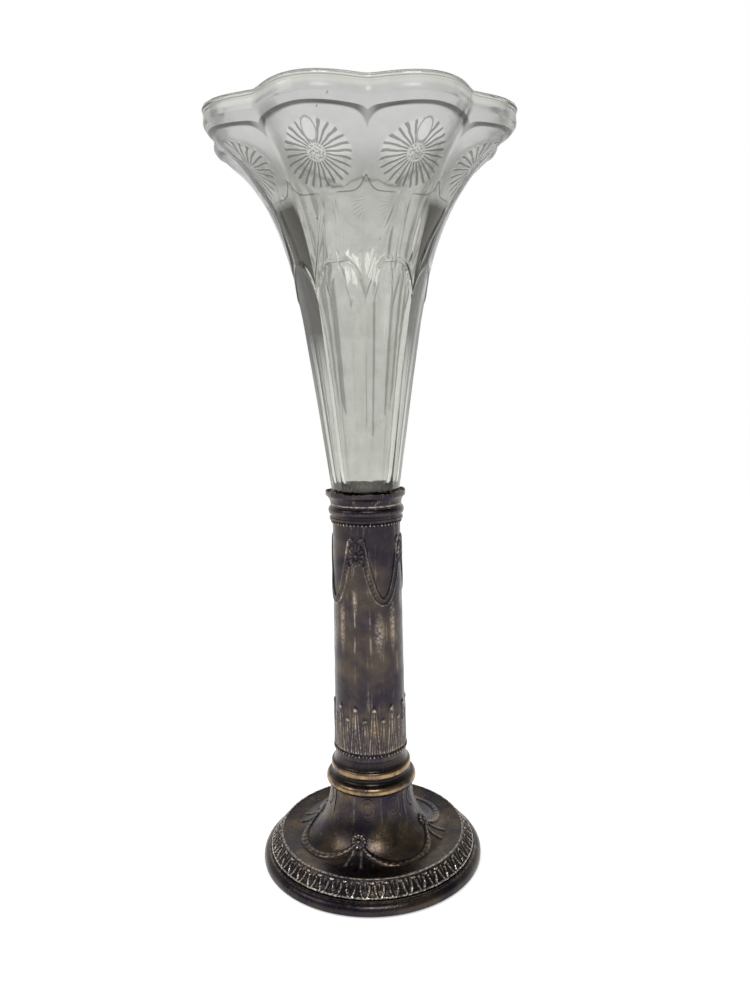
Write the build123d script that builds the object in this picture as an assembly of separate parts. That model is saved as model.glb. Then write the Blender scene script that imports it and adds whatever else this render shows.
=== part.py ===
from build123d import *
import math
import os

# Trumpet vase: a pressed-glass trumpet in a plated column on a weighted foot.
# Millimetres, +Z up, origin at the middle of the underside, front along -Y.
# The glass turns on its cork seat and lifts straight out. The rest is one stand.

# Fits shared by all pieces
sheet = 0.8  # stamped sheet
solder_gap = 0.05  # between pieces that are soldered or pushed together
running_gap = 0.3  # between pieces that move past each other
overrun = 1.0  # how far a cut runs past the face that it opens

# Underside
baize_thickness = 1.0
baize_margin = 0.6  # from the baize to the skirt
plate_gap = 0.1  # from the base plate to the skirt
dish_depth = 6.0
dish_radius = 9.0

# Foot skirt and leaf border
skirt_radius = 50.0
skirt_height = 5.0
skirt_lift = 0.4  # the skirt's edge stays this far off the table
skirt_straight = 1.8  # height at which the skirt starts to round over
skirt_round = 2.8  # from the skirt's edge in to the border
border_width = 6.0
border_rise = 7.2
border_seat = 1.4  # width of the border's lower edge
border_fillet = 0.7
border_lip = 1.3  # depth of the border's upper edge

# Foot dome
dome_rim_drop = 0.2  # from the border's top down to the dome's rim
dome_rise = 23.3
brim_width = 6.9  # from the border in to where the flank starts
saucer_depth = 0.8
neck_inset = 0.3  # from the collar in to the top of the dome
filling_room = 7.5  # from the top of the dome down to the plaster
filling_margin = 1.3  # from the plaster to the border

# Turned rings at the foot of the column, as steps out from the column tube
ring_bore_step = 1.45  # inwards
base_root_step = 1.25
base_torus_reach = 0.8
base_torus_height = 3.5
cove_height = 3.9
cove_sag = 0.4
scotia_step = 1.15
scotia_height = 2.5
collar_root_step = 2.55
collar_torus_reach = 1.8
collar_torus_height = 4.5

# Column
column_length = 107.0
column_foot_radius = 16.05
column_head_radius = 14.75
bead_radius = 0.75
lower_bead_count = 62
upper_bead_count = 56
wire_share = 0.6  # thickness of a bead wire's core against its beads
lower_bead_lift = 2.9  # above the foot of the tube
upper_bead_drop = 1.0  # below the head of the tube

# Stamped ornament of the column
ornament_count = 4  # rosettes, and as many swags between them
ornament_turn = -18.0  # degrees from the front to the first rosette
ornament_relief = 0.6
rosette_half_width = 3.6
rosette_half_height = 5.4
rosette_drop = 13.9  # from the head of the tube down to the middle of a rosette
swag_width = 3.2
swag_span = 14.6  # between the two ends of a swag
swag_fall = 31.0
swag_drop = 34.7  # from the head of the tube down to the middle of a swag's low point
swag_knee_share = 0.62  # place of the knee between low point and end, as a share of the span
swag_knee_rise_share = 0.32
leaf_count = 12
leaf_turn = -23.0  # degrees from the front to the first leaf
leaf_width = 7.0
leaf_height = 21.8
leaf_lift = 4.4  # from the foot of the tube up to the leaves
leaf_belly_share = 0.55  # height at which a leaf starts to narrow

# Upper ring and socket lip, as steps out from the head of the tube
socket_bore_step = 0.3  # inwards
fillet_step = 1.25
fillet_height = 1.1
groove_step = 0.75
groove_height = 1.2
upper_torus_reach = 1.0
upper_torus_height = 3.4
neck_height = 0.9
lip_reach = 1.9  # from the neck out to the lip's edge
lip_height = 6.0
lip_curl = 2.0  # height of the upright edge
lip_sheet = 0.6

# Glass seat inside the head of the tube
seat_drop = 2.3  # from the head of the tube down to the seat ring
seat_thickness = 1.0
cork_thickness = 2.8
cork_gap = 0.2  # from the cork to the tube

# Glass trumpet
glass_height = 161.3  # from the shoulder to the rim
glass_wall = 3.0
shoulder_gap = 0.45  # from the shoulder to the inside of the tube
facet_lift = 4.5  # the facets start this far above the lip
facet_crown = 0.15  # each facet bulges by this much
stem_step = 0.65  # from the head of the tube out to the facets
stem_taper = 19.0
mouth_flare = 28.4
band_height = 7.5
band_flare = 1.4
seam_depth = 8.1
lobe_count = 8
seam_turn = 4.0  # degrees from the front to the first seam
flare_power = 5
seam_power = 6
fill_power = 4
section_shares = (0.0, 0.22, 0.42, 0.58, 0.7, 0.8, 0.88, 0.94, 1.0)
panel_depth = 1.1  # of the arched panels and the windows, level with the ground
panel_apex_drop = 1.3  # from the rim band down to the top of an arch
panel_spring_drop = 3.7  # down to where two arches meet at a seam
panel_corner_drop = 20.5  # down to the lower corners of a panel, at the seams
panel_foot_drop = 26.5  # down to the foot of a panel
seam_lap = 0.3  # each panel runs this far past its seams
flower_drop = 15.0  # from the rim band down to the middle of a flower
flower_radius = 13.4
petal_count = 13
petal_notch = 1.5
button_radius = 2.6
button_groove = 1.1
slope_step_share = 0.01
window_peak_drop = 22.2  # from the rim band down to the top of a window
window_peak_width = 7.4
window_peak_share = 0.35  # how far the sides of the peak are drawn in
window_shoulder_drop = 28.6
window_foot_drop = 50.5  # down to where a window's sides turn in over the facets
window_tip_drop = 63.5
window_foot_shares = (0.42, 0.66)  # middle of the foot's curve, across and up from the tip
stalk_width = 4.4  # between two windows
peg_length = 30.7
peg_radius = 9.0
peg_taper = 0.8
peg_round = 2.0
peg_floor = 4.0
bore_radius = 6.0
bore_taper = 0.8

# Tie rod and its fittings
rod_radius = 2.0
rod_tail = 0.8  # below the nut
rod_clearance = 0.4  # round the rod in the plate and the filling
nut_width = 7.0  # across the flats
nut_height = 3.2
washer_radius = 4.5
washer_thickness = 0.8
bridge_thickness = 3.0
bridge_drop = 9.0  # from the peg down to the bridge

# Heights above the table
plate_bottom = baize_thickness
plate_top = plate_bottom + sheet
dish_ceiling = plate_bottom + dish_depth
border_top = skirt_height + border_rise
dome_rim = border_top - dome_rim_drop
saucer_level = dome_rim - saucer_depth
dome_top = border_top + dome_rise
filling_top = dome_top - filling_room
collar_torus_top = dome_top + collar_torus_height
collar_top = collar_torus_top + scotia_height
base_torus_top = collar_top + base_torus_height
column_foot = base_torus_top + cove_height
column_head = column_foot + column_length
fillet_top = column_head + fillet_height
groove_top = fillet_top + groove_height
upper_torus_top = groove_top + upper_torus_height
neck_top = upper_torus_top + neck_height
lip_top = neck_top + lip_height
seat_bottom = column_head - seat_drop
seat_top = seat_bottom + seat_thickness
cork_top = seat_top + cork_thickness
shoulder = cork_top + running_gap
rim = shoulder + glass_height
facet_start = lip_top + facet_lift
band_bottom = rim - band_height
peg_bottom = shoulder - peg_length
bridge_top = peg_bottom - bridge_drop

# Radii of the foot, from the skirt inwards
border_radius = skirt_radius - skirt_round
dome_radius = border_radius - border_width
saucer_radius = dome_radius - brim_width
skirt_bore_radius = border_radius - border_seat
plate_radius = skirt_bore_radius - plate_gap

# Radii of the rings, from the column tube
ring_bore_radius = column_foot_radius - ring_bore_step
base_root_radius = column_foot_radius + base_root_step
base_torus_radius = base_root_radius + base_torus_reach
scotia_radius = column_foot_radius + scotia_step
collar_root_radius = column_foot_radius + collar_root_step
collar_torus_radius = collar_root_radius + collar_torus_reach
dome_neck_radius = collar_root_radius - neck_inset
socket_bore_radius = column_head_radius - socket_bore_step
fillet_radius = column_head_radius + fillet_step
groove_radius = column_head_radius + groove_step
upper_torus_radius = groove_radius + upper_torus_reach
neck_radius = groove_radius
lip_radius = neck_radius + lip_reach

# Radii of the glass and the rod, from the pieces beside them
shoulder_radius = column_head_radius - sheet - shoulder_gap
stem_radius = column_head_radius + stem_step
rod_hole_radius = rod_radius + rod_clearance
thread_radius = rod_radius + solder_gap
seat_bore_radius = peg_radius + running_gap


def turned(*edges):
    """Solid turned about Z from a closed outline of radius and height."""
    return revolve(Plane.XZ * make_face(edges), Axis.Z)


def turned_points(*points):
    """Solid turned about Z from a closed outline with straight sides."""
    return turned(*Polyline(*points, close=True).edges())


def tube_ring(inner, outer, bottom, top):
    """Plain ring with flat ends."""
    return turned_points((inner, bottom), (outer, bottom), (outer, top), (inner, top))


def bulge(start, end, reach):
    """Arc from start to end, both (radius, height), whose middle reaches the given radius."""
    return ThreePointArc(start, (reach, (start[1] + end[1]) / 2), end)


def tube_radius(height):
    """Outer radius of the tapered column tube at a height."""
    share = (height - column_foot) / column_length
    return column_foot_radius + (column_head_radius - column_foot_radius) * share


def polar(radius, angle):
    """Point at an angle in degrees from the front, turning towards +X."""
    turn = math.radians(angle)
    return (radius * math.sin(turn), -radius * math.cos(turn))


def facing(angle, radius=0, height=0, slope=0):
    """Plane that faces outwards at an angle; where the face flares, it leans over by its slope."""
    turn = math.radians(angle)
    lean = math.atan(slope)
    across = (math.cos(turn), math.sin(turn), 0)
    out = (math.sin(turn) * math.cos(lean), -math.cos(turn) * math.cos(lean), -math.sin(lean))
    return Plane(origin=(*polar(radius, angle), height), x_dir=across, z_dir=out)


def set_round(piece, count):
    """Copies of a piece at even turns about the axis."""
    return [Rot(0, 0, 360 * index / count) * piece for index in range(count)]


# Underside of the foot


def make_baize_disc():
    radius = skirt_bore_radius - baize_margin
    return Pos(0, 0, baize_thickness / 2) * Cylinder(radius, baize_thickness)


def make_base_plate():
    return turned_points(
        (rod_hole_radius, dish_ceiling),
        (dish_radius, dish_ceiling),
        (dish_radius, plate_bottom),
        (plate_radius, plate_bottom),
        (plate_radius, plate_top),
        (dish_radius + sheet, plate_top),
        (dish_radius + sheet, dish_ceiling + sheet),
        (rod_hole_radius, dish_ceiling + sheet),
    )


def make_rod_washer():
    return tube_ring(thread_radius, washer_radius, dish_ceiling - washer_thickness, dish_ceiling)


def make_rod_nut():
    bottom = dish_ceiling - washer_thickness - nut_height
    hexagon = RegularPolygon(nut_width / 2, 6, major_radius=False) - Circle(thread_radius)
    return Pos(0, 0, bottom) * extrude(hexagon, nut_height)


def make_tie_rod():
    bottom = dish_ceiling - washer_thickness - nut_height - rod_tail
    length = bridge_top - bottom
    return Pos(0, 0, bottom + length / 2) * Cylinder(rod_radius, length)


# Foot: skirt, leaf border, dome and the weight inside


def make_foot_skirt():
    edge = (skirt_radius, skirt_straight)
    crown = (border_radius, skirt_height)
    sides = Polyline(
        crown,
        (skirt_bore_radius, skirt_height),
        (skirt_bore_radius, skirt_lift),
        (skirt_radius, skirt_lift),
        edge,
    )
    return turned(*sides.edges(), TangentArc(edge, crown, tangent=(0, 1)))


def make_leaf_border():
    return turned_points(
        (border_radius - border_seat, skirt_height),
        (border_radius, skirt_height),
        (border_radius, skirt_height + border_fillet),
        (border_radius - border_fillet, skirt_height + border_fillet),
        (dome_radius + border_fillet, border_top - border_fillet),
        (dome_radius + border_fillet, border_top),
        (dome_radius, border_top),
        (dome_radius, border_top - border_lip),
    )


def dome_curve(depth):
    """Hollow flank of the dome, a quarter ellipse, at a depth below the outer face."""
    across = saucer_radius - dome_neck_radius + depth
    down = dome_top - saucer_level + depth
    return EllipticalCenterArc((saucer_radius, dome_top), across, down, start_angle=180, arc_size=90)


def make_foot_dome():
    outer = dome_curve(0)
    inner = dome_curve(sheet)
    rim_radius = dome_radius - solder_gap
    neck = Line(outer @ 0, inner @ 0)
    brim = Polyline(outer @ 1, (rim_radius, dome_rim), (rim_radius, dome_rim - sheet), inner @ 1)
    return turned(outer, neck, inner, *brim.edges())


def make_plaster_filling():
    flank = dome_curve(sheet + solder_gap)
    floor_level = plate_top + solder_gap
    dish_wall = dish_radius + sheet + solder_gap
    dish_roof = dish_ceiling + sheet + solder_gap
    ledge_level = saucer_level - sheet - solder_gap
    ledge_radius = dome_radius - filling_margin
    side_radius = plate_radius - filling_margin
    outline = Polyline(
        flank @ 1,
        (ledge_radius, ledge_level),
        (side_radius, skirt_height),
        (side_radius, floor_level),
        (dish_wall, floor_level),
        (dish_wall, dish_roof),
        (rod_hole_radius, dish_roof),
        (rod_hole_radius, dome_top),
        flank @ 0,
    )
    body = turned(flank, *outline.edges())
    above = tube_ring(0, skirt_radius, filling_top, dome_top + overrun)
    return body - above


# Turned rings and the column


def make_foot_collar():
    waist = bulge((scotia_radius, collar_top), (collar_root_radius, collar_torus_top), scotia_radius)
    torus = bulge((collar_root_radius, collar_torus_top), (collar_root_radius, dome_top), collar_torus_radius)
    sides = Polyline(torus @ 1, (ring_bore_radius, dome_top), (ring_bore_radius, collar_top), waist @ 0)
    return turned(waist, torus, *sides.edges())


def make_column_base_ring():
    cove_middle = (base_root_radius + column_foot_radius) / 2 - cove_sag
    cove_end = (column_foot_radius, column_foot)
    torus_end = (base_root_radius, base_torus_top)
    torus_start = (base_root_radius, collar_top)
    cove = bulge(cove_end, torus_end, cove_middle)
    torus = bulge(torus_end, torus_start, base_torus_radius)
    sides = Polyline(torus_start, (ring_bore_radius, collar_top), (ring_bore_radius, column_foot), cove_end)
    return turned(cove, torus, *sides.edges())


def tube_wall(inset, relief):
    """Tapered tube from a depth below the column's face to a height over it."""
    return turned_points(
        (column_foot_radius - inset, column_foot),
        (column_foot_radius + relief, column_foot),
        (column_head_radius + relief, column_head),
        (column_head_radius - inset, column_head),
    )


def rosette_face():
    return Pos(0, column_head - rosette_drop) * Ellipse(rosette_half_width, rosette_half_height)


def swag_line(side):
    """Edge of a swag, above or below its middle by half its width."""
    shift = side * swag_width / 2
    low = column_head - swag_drop + shift
    end_x = swag_span / 2 - shift
    knee_x = end_x * swag_knee_share
    knee_z = low + swag_fall * swag_knee_rise_share
    end_z = column_head - swag_drop + swag_fall
    points = [(-end_x, end_z), (-knee_x, knee_z), (0, low), (knee_x, knee_z), (end_x, end_z)]
    return Spline(*points, tangents=[(0, -1), (0, 1)])


def swag_face():
    upper = swag_line(1)
    lower = swag_line(-1)
    return make_face([upper, lower, Line(upper @ 0, lower @ 0), Line(upper @ 1, lower @ 1)])


def leaf_face():
    foot = column_foot + leaf_lift
    belly = foot + leaf_height * leaf_belly_share
    half = leaf_width / 2
    sides = Polyline((-half, belly), (-half, foot), (half, foot), (half, belly))
    tip = (0, foot + leaf_height)
    left = TangentArc((-half, belly), tip, tangent=(0, 1))
    right = TangentArc((half, belly), tip, tangent=(0, 1))
    return make_face([*sides.edges(), left, right])


def make_column_tube():
    skin = tube_wall(sheet / 2, ornament_relief)
    reach = column_foot_radius + ornament_relief + overrun
    swag_turn = ornament_turn + 180 / ornament_count
    rosettes = set_round(extrude(facing(ornament_turn) * rosette_face(), reach) & skin, ornament_count)
    swags = set_round(extrude(facing(swag_turn) * swag_face(), reach) & skin, ornament_count)
    leaves = set_round(extrude(facing(leaf_turn) * leaf_face(), reach) & skin, leaf_count)
    return tube_wall(sheet, 0) + rosettes + swags + leaves


def make_bead_wire(height, count):
    """Half-round beads on a thin wire, bedded against the tube."""
    radius = tube_radius(height) + solder_gap
    wire = Pos(0, 0, height) * Torus(radius, bead_radius * wire_share)
    beads = [Pos(0, 0, height) * Rot(0, 0, 360 * index / count) * Pos(radius, 0, 0) * Sphere(bead_radius)
             for index in range(count)]
    low = height - bead_radius - overrun
    high = height + bead_radius + overrun
    core = turned_points(
        (0, low),
        (tube_radius(low) + solder_gap, low),
        (tube_radius(high) + solder_gap, high),
        (0, high),
    )
    return wire + beads - core


def make_rod_bridge():
    radius = tube_radius(bridge_top) - sheet - solder_gap
    return tube_ring(thread_radius, radius, bridge_top - bridge_thickness, bridge_top)


# Socket: upper ring, lip and the seat of the glass


def make_upper_ring():
    torus_start = (groove_radius, groove_top)
    torus_end = (groove_radius, upper_torus_top)
    torus = bulge(torus_start, torus_end, upper_torus_radius)
    sides = Polyline(
        torus_end,
        (neck_radius, neck_top),
        (socket_bore_radius, neck_top),
        (socket_bore_radius, column_head),
        (fillet_radius, column_head),
        (fillet_radius, fillet_top),
        (groove_radius, fillet_top),
        torus_start,
    )
    return turned(torus, *sides.edges())


def make_socket_lip():
    curl_level = lip_top - lip_curl
    outer = TangentArc((neck_radius, neck_top), (lip_radius, curl_level), tangent=(0, 1))
    inner = TangentArc((neck_radius - lip_sheet, neck_top), (lip_radius - lip_sheet, curl_level), tangent=(0, 1))
    foot = Line(inner @ 0, outer @ 0)
    edge = Polyline(outer @ 1, (lip_radius, lip_top), (lip_radius - lip_sheet, lip_top), inner @ 1)
    return turned(outer, inner, foot, *edge.edges())


def make_seat_ring():
    radius = tube_radius(seat_top) - sheet - solder_gap
    return tube_ring(seat_bore_radius, radius, seat_bottom, seat_top)


def make_cork_seat():
    radius = tube_radius(column_head) - sheet - cork_gap
    return tube_ring(seat_bore_radius, radius, seat_top, cork_top)


# Glass trumpet


def lobed_face(height, seam, lobe):
    """Outline of arcs that meet at the seams; seam and lobe are the two radii."""
    pitch = 360 / lobe_count
    arcs = []
    for index in range(lobe_count):
        angle = seam_turn + index * pitch
        middle = polar(lobe, angle + pitch / 2)
        arcs.append(ThreePointArc(polar(seam, angle), middle, polar(seam, angle + pitch)))
    return Pos(0, 0, height) * make_face(arcs)


def outer_radii(share):
    """Seam and lobe radius outside, from 0 where the facets start to 1 under the rim band."""
    outline = stem_radius + stem_taper * share + mouth_flare * share**flare_power
    facet = outline * math.cos(math.pi / lobe_count) + facet_crown
    lobe = facet + (outline - facet) * share**fill_power
    return outline - seam_depth * share**seam_power, lobe


def inner_radii(share):
    """Seam and lobe radius inside: round in the stem, lobed at the mouth."""
    lobe = outer_radii(share)[1] - glass_wall
    return lobe - seam_depth * share**seam_power, lobe


def trumpet(radii):
    """Flared body from the start of the facets to the rim, with the given seam and lobe radii."""
    flare = band_bottom - facet_start
    sections = [lobed_face(facet_start + flare * share, *radii(share)) for share in section_shares]
    seam, lobe = radii(1)
    band = loft([sections[-1], lobed_face(rim, seam + band_flare, lobe + band_flare)], ruled=True)
    return loft(sections) + band


def panel_floor_radii(share):
    """Seam and lobe radius at the bottom of the panels."""
    seam, lobe = outer_radii(share)
    return seam - panel_depth, lobe - panel_depth


def share_below_band(drop):
    """Share of the flare at a distance below the rim band."""
    return 1 - drop / (band_bottom - facet_start)


def seam_reach(drop):
    """Half the width of a lobe at a distance below the rim band, a little past its seams."""
    seam = outer_radii(share_below_band(drop))[0]
    return seam * math.sin(math.pi / lobe_count) + seam_lap


def panel_face():
    """Panel under an arch from seam to seam, with a rounded foot."""
    spring = (seam_reach(panel_spring_drop), band_bottom - panel_spring_drop)
    corner = (seam_reach(panel_corner_drop), band_bottom - panel_corner_drop)
    left_spring = (-spring[0], spring[1])
    left_corner = (-corner[0], corner[1])
    arch = ThreePointArc(left_spring, (0, band_bottom - panel_apex_drop), spring)
    foot = ThreePointArc(left_corner, (0, band_bottom - panel_foot_drop), corner)
    return make_face([arch, foot, Line(left_spring, left_corner), Line(spring, corner)])


def flower_face():
    """Daisy with a notched edge and a groove round its button."""
    points = []
    for index in range(2 * petal_count):
        turn = math.pi * index / petal_count
        radius = flower_radius - petal_notch * (index % 2)
        points.append((radius * math.cos(turn), radius * math.sin(turn)))
    edge = make_face(Spline(*points, periodic=True))
    return edge - (Circle(button_radius + button_groove) - Circle(button_radius))


def window_reach(drop):
    """Half the width of a window at a distance below the rim band, out to the stalk."""
    lobe = outer_radii(share_below_band(drop))[1]
    return lobe * math.sin(math.pi / lobe_count) - stalk_width / 2


def window_face():
    """Window over a seam: a pointed peak above, and a foot that follows the round tops of the facets."""
    peak_z = band_bottom - window_peak_drop
    shoulder_z = band_bottom - window_shoulder_drop
    foot_z = band_bottom - window_foot_drop
    tip_z = band_bottom - window_tip_drop
    middle_z = tip_z + (foot_z - tip_z) * window_foot_shares[1]
    sag_z = shoulder_z + (peak_z - shoulder_z) * window_peak_share
    edges = []
    for side in (-1, 1):
        peak_x = side * window_peak_width / 2
        shoulder_x = side * window_reach(window_shoulder_drop)
        foot_x = side * window_reach(window_foot_drop)
        edges.append(ThreePointArc((0, peak_z), (peak_x * window_peak_share, sag_z), (peak_x, shoulder_z)))
        edges.extend(Polyline((peak_x, shoulder_z), (shoulder_x, shoulder_z), (foot_x, foot_z)).edges())
        edges.append(ThreePointArc((foot_x, foot_z), (foot_x * window_foot_shares[0], middle_z), (0, tip_z)))
    return make_face(edges)


def panel_cuts():
    """What the mould presses into the lobes and over the seams, with the daisies left standing."""
    reach = outer_radii(1)[1] + overrun
    floor_body = trumpet(panel_floor_radii)
    lobe_turn = seam_turn + 180 / lobe_count
    share = share_below_band(flower_drop)
    radius = outer_radii(share)[1]
    step = outer_radii(share + slope_step_share)[1] - outer_radii(share - slope_step_share)[1]
    slope = step / (2 * slope_step_share * (band_bottom - facet_start))
    flower_plane = facing(lobe_turn, radius, band_bottom - flower_drop, slope)
    flower = extrude(flower_plane * flower_face(), flower_radius / 2, both=True)
    panel = extrude(facing(lobe_turn) * panel_face(), reach) - floor_body - flower
    window = extrude(facing(seam_turn) * window_face(), reach) - floor_body
    return set_round(panel, lobe_count) + set_round(window, lobe_count)


def make_glass_trumpet():
    socket = loft(
        [lobed_face(shoulder, shoulder_radius, shoulder_radius), lobed_face(facet_start, *outer_radii(0))],
        ruled=True,
    )
    peg_tip = (peg_radius - peg_taper, peg_bottom + peg_round)
    peg_base = (peg_radius - peg_taper - peg_round, peg_bottom)
    peg_sides = Polyline(peg_base, (0, peg_bottom), (0, shoulder), (peg_radius, shoulder), peg_tip)
    peg = turned(*peg_sides.edges(), TangentArc(peg_base, peg_tip, tangent=(1, 0)))
    bore = turned_points(
        (0, peg_bottom + peg_floor),
        (bore_radius - bore_taper, peg_bottom + peg_floor),
        (bore_radius, shoulder),
        (inner_radii(0)[1], facet_start),
        (0, facet_start),
    )
    return trumpet(outer_radii) + socket + peg - trumpet(inner_radii) - bore - panel_cuts()


pieces = {
    "baize_disc": make_baize_disc(),
    "base_plate": make_base_plate(),
    "rod_washer": make_rod_washer(),
    "rod_nut": make_rod_nut(),
    "tie_rod": make_tie_rod(),
    "foot_skirt": make_foot_skirt(),
    "leaf_border": make_leaf_border(),
    "foot_dome": make_foot_dome(),
    "plaster_filling": make_plaster_filling(),
    "foot_collar": make_foot_collar(),
    "column_base_ring": make_column_base_ring(),
    "column_tube": make_column_tube(),
    "lower_bead_wire": make_bead_wire(column_foot + lower_bead_lift, lower_bead_count),
    "upper_bead_wire": make_bead_wire(column_head - upper_bead_drop, upper_bead_count),
    "rod_bridge": make_rod_bridge(),
    "upper_ring": make_upper_ring(),
    "socket_lip": make_socket_lip(),
    "seat_ring": make_seat_ring(),
    "cork_seat": make_cork_seat(),
    "glass_trumpet": make_glass_trumpet(),
}

os.makedirs("parts", exist_ok=True)
for name, piece in pieces.items():
    export_step(piece, f"parts/{name}.step")
print(f"vase height {rim:.1f}, lip at {lip_top:.1f}, shoulder at {shoulder:.1f}, peg down to {peg_bottom:.1f}")
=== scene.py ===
# %% [markdown]
# # Trumpet vase
# A pressed-glass trumpet stands in a tarnished, plated column on a weighted foot.
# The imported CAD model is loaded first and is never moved: it is the frame that every
# piece below is built on. Lengths are written in millimetres, as on a workshop
# drawing, and become Blender's metres when a mesh is made.

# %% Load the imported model
import math

import bpy
import numpy as np
from mathutils import Matrix, Vector


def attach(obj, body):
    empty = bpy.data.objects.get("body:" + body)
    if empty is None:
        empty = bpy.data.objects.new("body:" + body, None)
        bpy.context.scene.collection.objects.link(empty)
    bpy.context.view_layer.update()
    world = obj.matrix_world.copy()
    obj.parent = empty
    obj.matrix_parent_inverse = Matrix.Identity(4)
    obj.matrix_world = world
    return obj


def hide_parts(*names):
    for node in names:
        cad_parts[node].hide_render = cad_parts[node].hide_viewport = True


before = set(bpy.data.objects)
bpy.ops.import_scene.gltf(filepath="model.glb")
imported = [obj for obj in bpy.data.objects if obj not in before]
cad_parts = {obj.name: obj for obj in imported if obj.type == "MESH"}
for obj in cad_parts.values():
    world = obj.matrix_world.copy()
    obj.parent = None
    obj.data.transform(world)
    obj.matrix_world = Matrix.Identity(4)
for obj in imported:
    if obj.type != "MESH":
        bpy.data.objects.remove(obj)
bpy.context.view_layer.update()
mm = 0.001
scene = bpy.context.scene
scene.view_settings.view_transform = "Standard"
print("CAD nodes loaded:", len(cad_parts))

# %% [markdown]
# ## Camera
# The camera stands a little above the column's head, close to the vase, looks slightly
# down and is turned by one degree. Its axes could come from Euler angles, but building
# them from the three directions keeps the signs easy to read.

# %% Camera
image_height = 1000
focal_pixels = 810
sensor_height = 36.0
camera_pitch = math.radians(8.79)
camera_roll = math.radians(1.02)
camera_place = Vector((3.94, -349.45, 218.62)) * mm
nearest_seen = 0.01

forward = Vector((0, math.cos(camera_pitch), -math.sin(camera_pitch)))
level_up = Vector((0, math.sin(camera_pitch), math.cos(camera_pitch)))
level_right = Vector((1, 0, 0))
right = level_right * math.cos(camera_roll) - level_up * math.sin(camera_roll)
up = level_right * math.sin(camera_roll) + level_up * math.cos(camera_roll)

lens_data = bpy.data.cameras.new("camera")
lens_data.sensor_fit = "VERTICAL"
lens_data.sensor_height = sensor_height
lens_data.lens = sensor_height * focal_pixels / image_height
lens_data.clip_start = nearest_seen
camera = bpy.data.objects.new("camera", lens_data)
scene.collection.objects.link(camera)
axes = Matrix((right, up, -forward)).transposed().to_4x4()
camera.matrix_world = Matrix.Translation(camera_place) @ axes
scene.camera = camera
print("lens", round(lens_data.lens, 2), "mm")

# %% [markdown]
# ## Node helpers
# Shader and geometry trees are built by the same few lines: make a node, set its
# properties, then fill each input with a value or with a link. Writing that once keeps
# the finishes below short enough to read as recipes.


# %% Node helpers
def fill(tree, node, inputs):
    """Set inputs of a node to values, or link them to sockets."""
    for name, value in inputs.items():
        if isinstance(value, bpy.types.NodeSocket):
            tree.links.new(value, node.inputs[name])
        else:
            node.inputs[name].default_value = value


def add_node(tree, kind, inputs=None, **settings):
    """New node with its settings and its inputs."""
    made = tree.nodes.new(kind)
    for name, value in settings.items():
        setattr(made, name, value)
    fill(tree, made, inputs or {})
    return made


def calculated(tree, operation, first, second=0.0):
    """Output of a Math node."""
    return add_node(tree, "ShaderNodeMath", {0: first, 1: second}, operation=operation).outputs[0]


def times(tree, first, *others):
    """Product of two or more values."""
    for other in others:
        first = calculated(tree, "MULTIPLY", first, other)
    return first


def blended(tree, share, first, second):
    """Colour between first and second."""
    inputs = {"Factor": share, 6: first, 7: second}
    return add_node(tree, "ShaderNodeMix", inputs, data_type="RGBA").outputs[2]


def grain(tree, place, scale, detail=3.0, roughness=0.55):
    """Noise value at a place."""
    inputs = {"Vector": place, "Scale": scale, "Detail": detail, "Roughness": roughness}
    return add_node(tree, "ShaderNodeTexNoise", inputs).outputs[0]


def steps(tree, value, *stops):
    """Colour ramp through stops of (position, colour)."""
    made = add_node(tree, "ShaderNodeValToRGB", {0: value})
    marks = made.color_ramp.elements
    while len(marks) < len(stops):
        marks.new(1.0)
    for mark, (position, colour) in zip(marks, stops):
        mark.position = position
        mark.color = (*colour, 1.0)
    return made.outputs[0]


def between(tree, value, low, high, before=0.0, after=1.0):
    """Value that goes smoothly from before at low to after at high."""
    inputs = {"Value": value, "From Min": low, "From Max": high, "To Min": before, "To Max": after}
    return add_node(tree, "ShaderNodeMapRange", inputs, interpolation_type="SMOOTHSTEP").outputs[0]


def object_place(tree, stretch=(1.0, 1.0, 1.0)):
    """Object coordinates, stretched where the pattern runs along one axis."""
    place = add_node(tree, "ShaderNodeTexCoord").outputs["Object"]
    return add_node(tree, "ShaderNodeMapping", {"Vector": place, "Scale": stretch}).outputs[0]


def new_group(name, inputs, outputs):
    """Shader node group with float inputs of (name, value) and outputs of (name, kind)."""
    tree = bpy.data.node_groups.new(name, "ShaderNodeTree")
    for title, value in inputs:
        socket = tree.interface.new_socket(title, in_out="INPUT", socket_type="NodeSocketFloat")
        socket.default_value = value
    for title, kind in outputs:
        tree.interface.new_socket(title, in_out="OUTPUT", socket_type=kind)
    return tree, tree.nodes.new("NodeGroupInput"), tree.nodes.new("NodeGroupOutput")


def new_finish(name):
    """Empty material with a Principled shader."""
    finish = bpy.data.materials.new(name)
    finish.use_nodes = True
    return finish, finish.node_tree, finish.node_tree.nodes["Principled BSDF"]


# %% [markdown]
# ## Stage
# A pale floor, a white surround and two soft lamps. The surround is white to the camera
# and gives a little less to matt surfaces, so that a colour renders about as it is
# written. Through glass it is a ring of eight tall soft boxes with dim gaps, which draw
# the edges in clear glass. In reflections the room is dim in front and bright behind,
# so that the dark metal gets its lighter edges.

# %% Stage
floor_half = 3.0
floor_drop = 0.0001
floor_glow = 0.34
floor_colours = ((0.93, 0.93, 0.93, 1), (0.95, 0.95, 0.95, 1))
ambient_strength = 0.72
box_count = 8
gap_level, gap_edge = 0.5, (-0.62, -0.12)
ceiling_level, ceiling_edge = 0.30, (0.45, 0.75)
front_level, back_level, back_edge = 0.32, 1.0, (0.0, 0.75)
roof_level, roof_edge = 0.45, (0.25, 0.65)

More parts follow.
